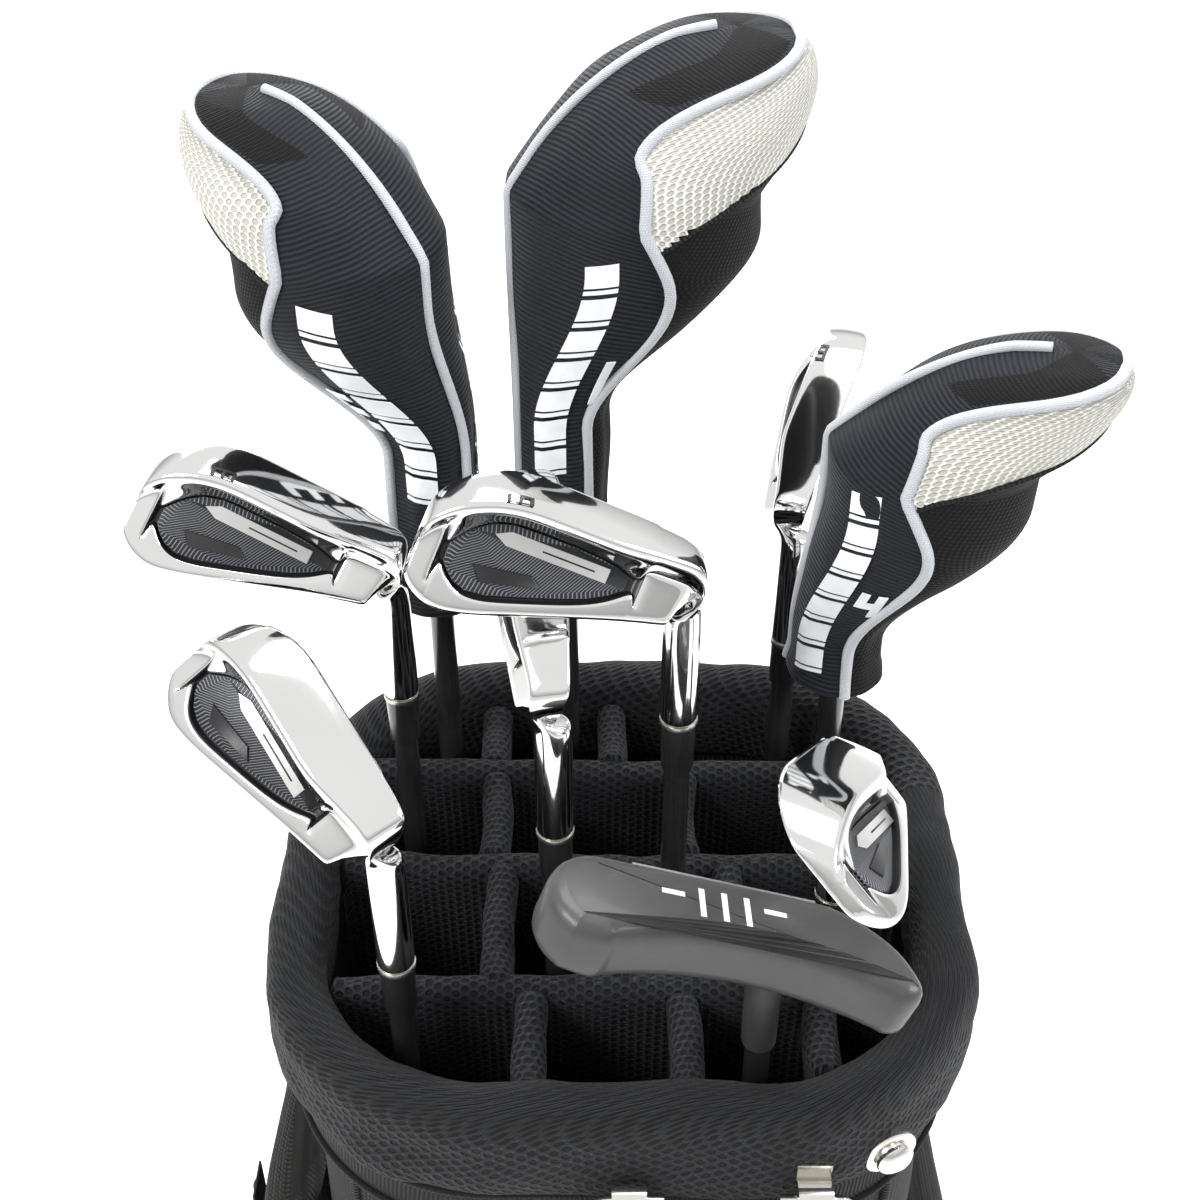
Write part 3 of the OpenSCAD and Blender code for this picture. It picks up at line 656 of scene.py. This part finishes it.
def build_pockets():
    pocket("pocket_side", "side_pocket", (-1, 0), 3.0)
    pocket("pocket_ball", "ball_pocket", (0, -1), 5.0)
    pocket("pocket_right", "right_pocket", (1, 0), 3.0)
    lo, hi = (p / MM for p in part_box("side_pocket"))
    x = lo.x - 2.6
    zipper("zip_side", (x, -34, lo.z + 25), (x, -34, hi.z - 24), (-1, 0, 0))
    lo, hi = (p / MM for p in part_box("ball_pocket"))
    zipper("zip_ball", (-70, lo.y - 4.6, hi.z - 28), (70, lo.y - 4.6, hi.z - 28), (0, -1, 0))
    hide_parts("zips")


def build_strap():
    """Shoulder strap: padded in the middle, plain webbing at its ends."""
    lo, hi = (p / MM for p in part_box("shoulder_strap"))
    mid, half = (hi.z + lo.z) / 2, (hi.z - lo.z) / 2
    sag, width = hi.y - lo.y - 4, hi.x - lo.x
    grid, edges = [], ([], [])
    for t in np.linspace(-1, 1, 90):
        z, y = mid + t * half, lo.y + 2 + sag * (1 - t * t)
        pad = ease(min(1, max(0, (0.72 - abs(t)) / 0.1)))
        w, h = mix(width * 0.30, width / 2, pad), mix(1.2, 4.2, pad)
        tilt = 2 * sag * t / half
        out = np.array([0, 1, tilt]) / math.hypot(1, tilt)
        row = []
        for a in np.linspace(0, 2 * math.pi, 28, endpoint=False):
            across = w * math.copysign(abs(math.cos(a)) ** 0.45, math.cos(a))
            up = h * math.copysign(abs(math.sin(a)) ** 0.7, math.sin(a))
            row.append(np.array([across, y, z]) + out * up)
        grid.append(row)
        for s, edge in zip((-1, 1), edges):
            edge.append(np.array([s * w * 0.86, y, z]) + out * h * 1.02)
    strap = surface("shoulder_strap_pad", ruffle(np.array(grid) * MM, 0.0008, 0.02, 4))
    dress(strap, "bag", "strap_web", "grip_cloth", stands_for=["shoulder_strap"])
    for tag, edge in zip("ab", edges):
        welt("strap_binding_" + tag, edge, 1.2)


def build_handle():
    """Grab handle: webbing roll on two bent wires that hook through the mounts."""
    lo, hi = (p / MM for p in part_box("grab_handle"))
    mid, y, bar = (lo.x + hi.x) / 2, (lo.y + hi.y) / 2, lo.z + 9
    turn = Matrix.Scale(MM, 4) @ Matrix.Translation((mid, y, bar)) @ Matrix.Rotation(math.pi / 2, 4, "Y")
    side = [(1, -ROLL_HALF), (6.4, -49), (8.4, -46), (8.2, -40), (8.9, -30)]
    profile = spline(side + [(9.0, 0)] + [(r, -z) for r, z in side[::-1]], 60)
    roll = lathe("handle_roll", profile, np.array(turn), 36)
    dress(roll, "handle", "handle_wrap", "grip_cloth", stands_for=["grab_handle"])
    bends = [(20, AXLE_Z), (34, AXLE_Z), (43, AXLE_Z - 2), (48, AXLE_Z - 12), (49, AXLE_Z - 24),
             (48, bar + 4), (44, bar), (36, bar)]
    for s, tag in ((-1, "left"), (1, "right")):
        wire = spline([(mid + s * x, y, z) for x, z in bends], 50)
        dress(tube("handle_wire_" + tag, wire * MM, 2.6 * MM, 14), "handle", "trim_metal", "trim")
    seam = [(mid + x, y - 9.1, bar - 1.2) for x in np.linspace(-42, 42, 60)]
    dress(tube("handle_seam", np.array(seam) * MM, 0.8 * MM, 6), "handle", "handle_wrap", "webbing")


def build_stud():
    """Domed snap stud on the front right of the rim."""
    place = Matrix.Translation((92, -RIM_D / 2 + 6, RIM_Z - 34)) @ Matrix.Rotation(math.radians(22), 4, "Z")
    place = place @ Matrix.Rotation(math.pi / 2, 4, "X")
    dome = [(0.2, 0), (9.6, 0), (10, 1.4), (10, 6.6), (8.6, 7.4), (6.2, 7.4), (6.0, 8.2), (7.0, 8.8),
            (7.0, 10), (5.6, 11.4), (3.2, 12.2), (0.2, 12.4)]
    stud = lathe("stud_dome", dome, np.array(Matrix.Scale(MM, 4) @ place))
    dress(stud, "bag", "trim_metal", "trim", stands_for=["snap_stud"])


# --- headcovers
def cover_shape(club):
    """The cover's own geometry: point(z, phi) in the club's frame, seam angle, neck and top of the dome."""
    width, depth, height, neck, _ = COVERS[club]
    a, c = width / 2, height / 2
    s, k = math.sin(WOOD_LIE), math.cos(WOOD_LIE)
    # the head inside is an ellipsoid turned by its lie
    zz = a * a * k * k + c * c * s * s
    xx = a * a * s * s + c * c * k * k
    xz = (a * a - c * c) * s * k
    half_x = math.sqrt(xx - xz * xz / zz)
    heel = 17 if width > 95 else 9
    centre_x = (a - heel) * s + c * k
    centre_z = (a - heel) * k - c * s
    top = math.sqrt(zz) + 6.2
    # seam between the ribbed panel and the toe side: height and angle from the heel, in degrees
    below = [(-neck, 112), (-neck * 0.7, 111), (-neck * 0.4, 106), (-neck * 0.15, 88)]
    above = [(0.08, 68), (0.3, 57), (0.52, 61), (0.7, 80), (0.84, 120), (0.93, 166)]
    curve = spline(below + [(top * part, degrees) for part, degrees in above], 60).T

    def point(z, phi):
        head = ease(min(1, max(0, (z + 94) / 66)))
        turn = phi + math.pi
        up = max(0.0, z / top)
        r = math.sqrt(max(0.0, 1 - up * up))
        hem = 1.6 * math.exp(-((z + neck) / 5) ** 2)
        px = mix(17 + hem, half_x * r + 8.4 * min(1, r * 3), head)
        py = mix(17 + hem, depth / 2 * r + 4.8 * min(1, r * 3), head)
        fold = 0.5 * math.exp(-((z + neck - 60) / 55) ** 2) * math.sin(9 * phi) * (1 - head)
        x = mix(0, centre_x - 2 + xz / zz * max(z, -12), head) + (px + fold) * math.cos(turn)
        y = mix(0, depth / 2 - 24, head) + (py + fold) * math.sin(turn)
        return x, y, centre_z + z

    def seam(z):
        return math.radians(np.interp(z, *curve))

    return point, seam, neck, top


def build_cover(club):
    point, seam, neck, top = cover_shape(club)
    matrix, body = club_frame(club), f"{club}_cover"
    dome = top * np.sin(np.radians(np.linspace(0, 88.6, 60)))
    heights = np.concatenate([np.linspace(-neck, 0, 90)[:-1], dome])
    half = 44
    turns = [t / half for t in range(-half, half)]
    low, high, loop_top = -0.5 * top, 0.36 * top, 0.93 * top

    def angle(t, z):
        """Angle from the heel: t is 0 at the heel, 0.5 on the seam and 1 at the toe."""
        b, t_abs = seam(z), abs(t)
        return math.copysign(b * t_abs / 0.5 if t_abs <= 0.5 else b + (math.pi - b) * (t_abs - 0.5) / 0.5, t)

    def pick(i, j):
        """0 ribbed panel, 1 plain black, 2 white mesh."""
        z, t = heights[i], abs(turns[j] + 0.5 / half)
        if t < 0.5 or z > loop_top:
            return 1 if z > 0.62 * top and 0.18 < t < 0.40 else 0
        return 2 if z > mix(low, high, (t - 0.5) / 0.5) else 1

    def on_skin(z, phi, lift=0.4):
        p = np.array(point(z, phi))
        n = np.cross(np.array(point(z, phi + 0.01)) - p, np.array(point(z + 0.5, phi)) - p)
        n /= np.linalg.norm(n)
        return p + n * lift, n

    def trim(tag, line, radius, sides=10, mat="piping"):
        cord = tube(f"{body}_{tag}", to_row(np.array(line), matrix), radius * MM, sides)
        dress(cord, body, "cover_knit", mat)

    local = np.array([[point(z, angle(t, z)) for t in turns] for z in heights])
    outer = ruffle(to_row(local, matrix), 0.0014, 0.03, 2 + neck * 0.1)
    skin = surface(f"{body}_skin", outer, pick=pick)
    dress(skin, body, "cover_knit", "panel", "neoprene", "white_mesh", stands_for=[body])
    inner = to_row(local[heights < -neck + 60], matrix)
    middle = inner.mean(1, keepdims=True)
    dress(surface(f"{body}_lining", middle + (inner - middle) * 0.88), body, "cover_knit", "neoprene")

    rise = [z for z in heights if z < loop_top][::2]
    left = [on_skin(z, seam(z))[0] for z in rise]
    right = [on_skin(z, -seam(z))[0] for z in rise]
    ends = seam(loop_top), 2 * math.pi - seam(loop_top)
    over = [on_skin(loop_top, phi)[0] for phi in np.linspace(*ends, 8)[1:-1]]
    trim("piping", left + over + right[::-1], 2.1)
    trim("heel_piping", [on_skin(z, 0.0)[0] for z in heights[::2] if z < top * 0.995], 1.9)
    for side in (-1, 1):
        edge = []
        for t in np.linspace(0, 1, 30):
            z = mix(low, high, t)
            edge.append(on_skin(z, side * (seam(z) * (1 - t) + math.pi * t), 0.1)[0])
        trim(f"seam_{'ab'[side > 0]}", edge, 0.9, 8, "webbing")

        def where(x, y, phi0=side * math.radians(62), s=side):
            base = min(-0.4 * neck, -59) + y
            radius = np.linalg.norm(np.array(point(base, phi0 + 0.01)) - np.array(point(base, phi0))) / 0.01
            p, n = on_skin(base, phi0 + s * x / radius, 0.45)
            return to_row(p[None], matrix)[0], aim(n, matrix)

        bars = []
        lean = 3.0
        for y in range(34, -45, -13):
            bars.append([(-6, y), (6, y + lean), (6, y + lean + 8.5), (-6, y + 8.5)])
            bars.append([(-6, y - 2.6), (6, y - 2.6 + lean), (6, y - 1.0 + lean), (-6, y - 1.0)])
        bars += [[(x + 13.5, y - 4) for x, y in quad] for quad in figure(str(COVERS[club][4]), 9, 19, 3.2)]
        strokes(f"{body}_print_{'ab'[side > 0]}", bars, where, 0.5 * MM, body, "cover_knit", "print")


# --- irons
def blade(height, width, loft, cavity, room=1.0):
    """Section of the blade: (up the face, behind the face). A cavity of 1 opens it, as high as room says."""
    thick = min(6.2, height * 0.3)
    rise, depth = width * math.sin(loft), width * math.cos(loft)
    sole_top = min(rise + 4.5, height * 0.62)
    ledge = min(sole_top + 3, height * 0.72)
    lip = max(height - 5.2, ledge + 0.4 * (height - ledge))
    waist = mix(ledge, lip, 0.45)
    lip, ledge = mix(waist, lip, room), mix(waist, ledge, room)
    floor = mix(thick, 3, cavity)
    shelf = mix(max(thick + 1, 0.45 * depth), 4.6, cavity * 0.4)
    face = [(0, 0.9), (1.2, 0), (height * 0.3, 0), (height * 0.6, 0), (height - 1.4, 0), (height - 0.2, 1.4)]
    top = [(height, thick * 0.55), (height - 0.7, thick - 0.5), (height - 2, thick), (lip, thick)]
    hollow = [(lip - 0.7 * cavity, floor), (mix(ledge, lip, 0.5), floor), (ledge + 0.7 * cavity, floor)]
    back = [(ledge, max(thick, shelf)), (mix(sole_top, ledge, 0.4), mix(depth * 0.8, shelf, 0.45)),
            (sole_top, depth - 1.6), (mix(rise, sole_top, 0.4), depth)]
    sole = [(rise - 0.4, depth - 1.2), (rise * 0.68 - 1.0, depth * 0.66 - 0.3),
            (rise * 0.3 - 0.9, depth * 0.3)]
    return face + top + hollow + back + sole


def heel_place(heel_h, loft):
    """Where the blade leaves the hosel along the toe line."""
    heel_top = heel_h * math.cos(loft)
    return HOSEL_R * math.sin(IRON_LIE) - (heel_top - HOSEL_R * math.cos(IRON_LIE)) / math.tan(IRON_LIE) + 1.2


def face_front(club):
    """How far the foot of the face stands ahead of the shaft's axis."""
    return 5.4 + 0.05 * IRONS[club][0]


def station(club, a):
    """The blade's section at one place along the toe line, and how far it stands up and along the face."""
    degrees, toe_h, heel_h, sole_w = IRONS[club]
    loft = math.radians(degrees)
    heel_a = heel_place(heel_h, loft)
    cavity = 1 if CAVITY[0] < a < CAVITY[1] else 0
    toe = 1 if a < TOE_TURN else math.sqrt(max(0, 1 - ((a - TOE_TURN) / (TOE_END - TOE_TURN)) ** 2))
    middle, half = sum(CAVITY) / 2, (CAVITY[1] - CAVITY[0]) / 2 + 0.6
    room = max(0.3, 1 - abs((a - middle) / half) ** 5) if cavity else 1.0
    full = mix(heel_h, toe_h, (min(a, 70) - heel_a) / (74 - heel_a))
    rise = 1.4 * ((20 - a) / (20 - heel_a)) ** 2 if a < 20 else (1.6 * ((a - 50) / 20) ** 2 if a > 50 else 0)
    height = max(full * mix(0.34, 1, toe), 5)
    width = sole_w * (mix(0.72, 1, (a - heel_a) / (20 - heel_a)) if a < 20 else 1) * mix(0.42, 1, toe)
    return blade(height, width, loft, cavity, room), rise, (1 - toe) * full * 0.36


def head_rings(club):
    """Rings of the head in the address frame from the hosel's bore to the toe, and the blade's places."""
    degrees, _, heel_h, sole_w = IRONS[club]
    loft, lie = math.radians(degrees), IRON_LIE
    sin_lie, cos_lie = math.sin(lie), math.cos(lie)
    heel_top = heel_h * math.cos(loft)
    heel_a, pivot_z, front = heel_place(heel_h, loft), heel_top + 1.6, face_front(club)
    hosel_end = (heel_top + 0.9) / sin_lie - HOSEL_R / math.tan(lie)
    turns = np.radians(200 - 360 / SIDES * np.arange(SIDES))

    sin_loft, cos_loft = math.sin(loft), math.cos(loft)

    def hub(r, s):
        across, aside = r * np.cos(turns), r * np.sin(turns)
        return np.stack([-s * cos_lie - across * sin_lie, aside, s * sin_lie - across * cos_lie], 1)

    def place(section, a, c0, back):
        return [(a, back - v * sin_loft - w * cos_loft, c0 + v * cos_loft - w * sin_loft) for v, w in section]

    bore = TIP_R + 0.16
    rings = [hub(bore, HOSEL_L - 20), hub(bore, HOSEL_L), hub(HOSEL_R - 0.6, HOSEL_L)]
    outside = (HOSEL_L - 0.8, HOSEL_L - 3, mix(HOSEL_L, hosel_end, 0.5), hosel_end + 1.6)
    rings += [hub(HOSEL_R, s) for s in outside]
    flat = place(blade(heel_h, sole_w * 0.72, loft, 0), 0, 1.4, front)
    for t in np.arange(1, 8) / 8:
        share, swing = ease(t), math.pi + mix(math.pi / 2 - lie, math.pi / 2, t)
        ring = []
        for angle, (_, y, z) in zip(turns, flat):
            r = mix(1.4 + HOSEL_R + HOSEL_R * math.cos(angle), pivot_z - z, share)
            side = mix(HOSEL_R * math.sin(angle), y, share)
            ring.append((heel_a + r * math.cos(swing), side, pivot_z + r * math.sin(swing)))
        rings.append(ring)
    blades = []
    for a in (heel_a, heel_a + 5, *STATIONS):
        section, rise, drop = station(club, a)
        blades.append((a, len(rings)))
        rings.append(place(section, a, rise + drop * cos_loft, front - drop * sin_loft))
    return np.array(rings), blades


def crease(obj, sharp, first, last):
    """Creases along the ring columns named in sharp, from ring first to ring last, for the subdivision."""
    values = np.zeros(len(obj.data.edges), np.float32)
    for k, edge in enumerate(obj.data.edges):
        a, b = sorted(edge.vertices)
        inside = first <= a // SIDES and b // SIDES <= last
        if inside and a % SIDES == b % SIDES and a % SIDES in sharp:
            values[k] = sharp[a % SIDES]
    obj.data.attributes.new("crease_edge", "FLOAT", "EDGE").data.foreach_set("value", values)


def plate(name, outline, low, high, matrix, edge=0.25):
    """Flat piece with eased edges: a polygon in the matrix's plane from low to high, in millimetres."""
    shape = np.array(outline, float)
    centre = shape.mean(0)
    inner = centre + (shape - centre) * (1 - edge / np.linalg.norm(shape - centre, axis=1, keepdims=True))
    levels = (shape, low), (shape, high - edge), (mix(shape, inner, 0.5), high - edge * 0.2), (inner, high)
    grid = [[(*p, z) for p in ring] for ring, z in levels]
    return surface(name, to_row(grid, matrix), sharp=30)


def build_iron(club):
    degrees, _, heel_h, sole_w = IRONS[club]
    loft = math.radians(degrees)
    rings, blades = head_rings(club)
    matrix = club_frame(club)
    first = next(k for a, k in blades if a > 8)
    last = next(k for a, k in blades if a > 75)
    grid = to_row(address(rings, IRON_LIE), matrix)
    head = surface(f"{club}_blade", grid, pick=lambda i, j: 1 if first <= i <= last and 9 <= j < 13 else 0)
    crease(head, CREASES, first, last)
    dress(head, club, "iron_chrome", "chrome", "cavity", stands_for=[f"{club}_head"])
    subdivide(head, 2)

    front = face_front(club)
    sin_loft, cos_loft = math.sin(loft), math.cos(loft)
    up_face, behind = (0, front - sin_loft, cos_loft), (0, front - cos_loft, -sin_loft)
    axes = address(np.array([(0, front, 0), (1, front, 0), up_face, behind]), IRON_LIE)
    face = Matrix.Identity(4)
    for k in range(3):
        face.col[k] = (*(axes[k + 1] - axes[0]), 0)
    face.col[3] = (*axes[0], 1)
    back = matrix @ np.array(face)

    def fit(tag, outline, low, high, mat, edge=0.25, **declared):
        dress(plate(f"{club}_{tag}", outline, low, high, back, edge), club, "badge", mat, **declared)

    gap = 1.1
    lower, upper = [], []
    for a in (13, 17, 24, 34, 46, 56, 63, 68, 71.5, 73.2):
        section, up, drop = station(club, a)
        shift = drop + up * cos_loft
        lower.append((a, section[13][0] + shift + gap))
        upper.append((a, section[10][0] + shift - gap))
    fit("badge_plate", lower + upper[::-1], 1.9, 4.15, "badge", stands_for=[f"{club}_badge"])
    lo = sole_w * sin_loft + 9.1
    bar = [(20, lo + 2), (56, lo + 2), (61, lo + 4.5), (56, lo + 7), (20, lo + 7)]
    fit("badge_bar", bar, 4.0, 4.9, "satin")
    groove = [(25, lo + 4.2), (44, lo + 4.2), (44, lo + 4.8), (25, lo + 4.8)]
    fit("badge_groove", groove, 4.7, 4.98, "cavity", 0.05)
    top = upper[6][1]
    fit("cavity_rib", [(40, top - 9), (60, top - 4), (64, top - 9), (44, top - 12)], 3.4, 4.9, "cavity", 0.5)

    x, y, _ = PLACES[club]
    seat = Matrix.Scale(MM, 4) @ Matrix.Translation((x, y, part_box(club + "_ferrule")[1].z / MM))
    bore = TIP_R + 0.9
    band = [(bore, -1.5), (HOSEL_R + 0.05, -1.5), (HOSEL_R + 0.12, -0.9), (HOSEL_R + 0.05, 0.1), (bore, 0.1)]
    dress(lathe(f"{club}_ferrule_ring", band, np.array(seat)), club, "trim_metal", "ring")
    if club[1].isdigit():
        sole_digit(club, rings, blades, matrix)
    face_grooves(club, matrix, loft, heel_h)


def face_grooves(club, matrix, loft, heel_h):
    """Scored lines on the hitting face."""
    quads = []
    for v in 8 + 3.4 * np.arange(9):
        right = 60 if v < 26 else 60 - (v - 26) * 0.4
        left = 14 if v < heel_h - 8 else 14 + (v - heel_h + 8) * 1.6
        quads.append([(left, v), (right, v), (right, v + 0.7), (left, v + 0.7)])
    n = aim(address(np.array([0, math.cos(loft), math.sin(loft)]), IRON_LIE), matrix)

    def where(x, y):
        p = np.array([(x, face_front(club) - y * math.sin(loft), y * math.cos(loft))])
        return to_row(address(p, IRON_LIE), matrix)[0], n

    strokes(f"{club}_face_lines", quads, where, 0.08 * MM, club, "iron_chrome", "cavity", 2)


def sole_digit(club, rings, blades, matrix):
    """The club's number, dark on the sole near the toe."""
    stations = [(a, k) for a, k in blades if 40 < a < 80]
    along = [a for a, _ in stations]

    def sole(x, y):
        j = SIDES - 1 - min(3.0, max(0.0, 1.9 + y / 6.4))
        low = int(min(SIDES - 2, j))
        column = [mix(rings[k][low], rings[k][low + 1], j - low) for _, k in stations]
        return np.array([np.interp(60 + x, along, [c[i] for c in column]) for i in range(3)])

    def where(x, y):
        n = np.cross(sole(x + 0.5, y) - sole(x - 0.5, y), sole(x, y + 0.5) - sole(x, y - 0.5))
        n *= -np.copysign(1, n[2]) / np.linalg.norm(n)
        lifted = address(sole(x, y) + n * 0.3, IRON_LIE)
        return to_row(lifted[None], matrix)[0], aim(address(n, IRON_LIE), matrix)

    quads = [[(y, -x) for x, y in quad] for quad in figure(club[1], 5.0, 8.4, 1.1)]
    strokes(f"{club}_sole_number", quads, where, 0.12 * MM, club, "iron_chrome", "cavity", 4)


# --- putter
def putter_outline():
    """Sole outline: straight face, round toe, tapered heel and hollow back."""
    toe = [(58 + 18 * math.cos(a), -6 + 18 * math.sin(a)) for a in np.radians(np.linspace(88, -62, 18))]
    arc = [(4 + 150 * math.cos(a), -164 + 150 * math.sin(a)) for a in np.radians(np.linspace(66, 110, 26))]
    hollow = [(x, y) for x, y in arc if x > -48 and y > -24]
    heel = [(-53, -21), (-54, -15), (-48, -3), (-37, 6), (-26, 11), (-14, 12)]
    return np.array(toe + hollow + heel + [(4, 12), (22, 12), (40, 12)])


def build_putter():
    matrix = club_frame("putter")
    levels = [(6.0, 0.0), (3.4, 0.5), (1.6, 1.7), (0.5, 3.6), (0, 6.5), (0, 18.5), (0.4, 21), (1.4, 22.7),
              (3.0, 23.5)]
    smooth = spline(putter_outline(), 160, True)
    tangent = np.roll(smooth, -1, 0) - np.roll(smooth, 1, 0)
    inward = np.column_stack([tangent[:, 1], -tangent[:, 0]])
    inward /= np.linalg.norm(inward, axis=1, keepdims=True)
    rings = [np.column_stack([smooth + inward * g, np.full(len(smooth), z)]) for g, z in levels]
    head = surface("putter_mallet", to_row(address(np.array(rings), PUTT_LIE), matrix), sharp=45)
    dress(head, "putter", "putter_metal", "putter", stands_for=["putter_head"])
    neck = [(4.9, -67), (5.9, -66.6), (6.2, -65.6), (6.3, -58), (6.4, -40), (6.6, -30), (7.6, -23),
            (7.6, -18)]
    dress(lathe("putter_neck", neck, matrix), "putter", "putter_metal", "putter")
    down = aim(address(np.array([0, 0, -1.0]), PUTT_LIE), matrix)

    def where(x, y):
        return to_row(address(np.array([(x, y, 0.0)]), PUTT_LIE), matrix)[0], down

    bars = [[(x - 1, -8), (x + 1, -8), (x + 1, 4), (x - 1, 4)] for x in (8, 16, 24)]
    bars += [[(x, -1), (x + 8, -1), (x + 8, 1), (x, 1)] for x in (-6, 30)]
    strokes("putter_sole_marks", bars, where, 0.15 * MM, "putter", "putter_metal", "print", 3)


# --- pieces kept from the frame
def paint_nodes():
    """Looks for the pieces that stay as the frame has them."""
    looks = {"base_foot": "plastic", "back_stays": "plastic", "grab_mounts": "trim", "strap_rings": "plastic",
             "putter_face": "insert"}
    for clubs, part, look in ((PLACES, "grip", "rubber"), (PLACES, "shaft", "shaft"),
                              (IRONS, "ferrule", "ferrule"), (COVERS, "head", "paint")):
        looks.update({f"{club}_{part}": look for club in clubs})
    for node, look in looks.items():
        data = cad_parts[node].data
        data.materials.clear()
        data.materials.append(MAT[look])
    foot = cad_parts["base_foot"].modifiers.new("eased", "BEVEL")
    foot.width, foot.segments, foot.limit_method = 0.0016, 2, "ANGLE"


# --- stage
def build_stage():
    mesh = bpy.data.meshes.new("floor")
    s = 30
    mesh.from_pydata([(-s, -s, 0), (s, -s, 0), (s, s, 0), (-s, s, 0)], [], [(0, 1, 2, 3)])
    floor = bpy.data.objects.new("floor", mesh)
    bpy.context.scene.collection.objects.link(floor)
    shader = Shader("floor_pale", 0.9)
    tint = shader.noise(shader.coords(False), 1.5)
    shader.put(shader.bsdf, Base_Color=shader.blend(tint, (0.90, 0.90, 0.90), (0.93, 0.93, 0.93)))
    mesh.materials.append(shader.mat)

    def lamp(name, place, target_z, size, power, colour=(1, 1, 1)):
        light = bpy.data.lights.new(name, "AREA")
        light.size, light.energy, light.color = size, power, colour
        obj = bpy.data.objects.new(name, light)
        bpy.context.scene.collection.objects.link(obj)
        obj.location = place
        obj.rotation_euler = (Vector((0, 0, target_z)) - Vector(place)).to_track_quat("-Z", "Y").to_euler()

    lamp("key", (-1.6, -1.2, 2.6), 0.9, 1.1, 62, (1.0, 0.99, 0.97))
    lamp("side", (1.9, -0.3, 1.9), 0.9, 0.9, 34, (0.96, 0.98, 1.0))
    lamp("overhead", (0.2, 0.9, 2.9), 0.9, 1.4, 46)
    lamp("back", (-0.6, 2.4, 1.5), 0.7, 1.4, 30)

    world = bpy.data.worlds.new("studio")
    bpy.context.scene.world = world
    world.use_nodes = True
    tree = world.node_tree
    coords = tree.nodes.new("ShaderNodeTexCoord")
    split = tree.nodes.new("ShaderNodeSeparateXYZ")
    ramp = tree.nodes.new("ShaderNodeValToRGB")
    for stop, grey, height in zip(ramp.color_ramp.elements, (0.50, 1.0), (0.05, 0.40)):
        stop.color = (grey, grey, grey, 1)
        stop.position = height
    tree.links.new(coords.outputs["Generated"], split.inputs[0])
    tree.links.new(split.outputs[2], ramp.inputs[0])
    tree.links.new(ramp.outputs[0], tree.nodes["Background"].inputs[0])
    tree.nodes["Background"].inputs[1].default_value = 1.0

    camera = bpy.data.objects.new("camera", bpy.data.cameras.new("camera"))
    bpy.context.scene.collection.objects.link(camera)
    camera.location = (-0.008, -0.464, 1.303)
    camera.rotation_euler = (math.radians(52), 0, 0)
    camera.data.lens = 51.0
    camera.data.sensor_width = 36
    camera.data.clip_start = 0.01
    bpy.context.scene.camera = camera
    bpy.context.scene.view_settings.view_transform = "Standard"


build_stage()
paint_nodes()
build_rim()
build_shell()
build_dividers()
build_pockets()
build_strap()
build_handle()
build_stud()
for cover_club in COVERS:
    build_cover(cover_club)
for iron_club in IRONS:
    build_iron(iron_club)
build_putter()
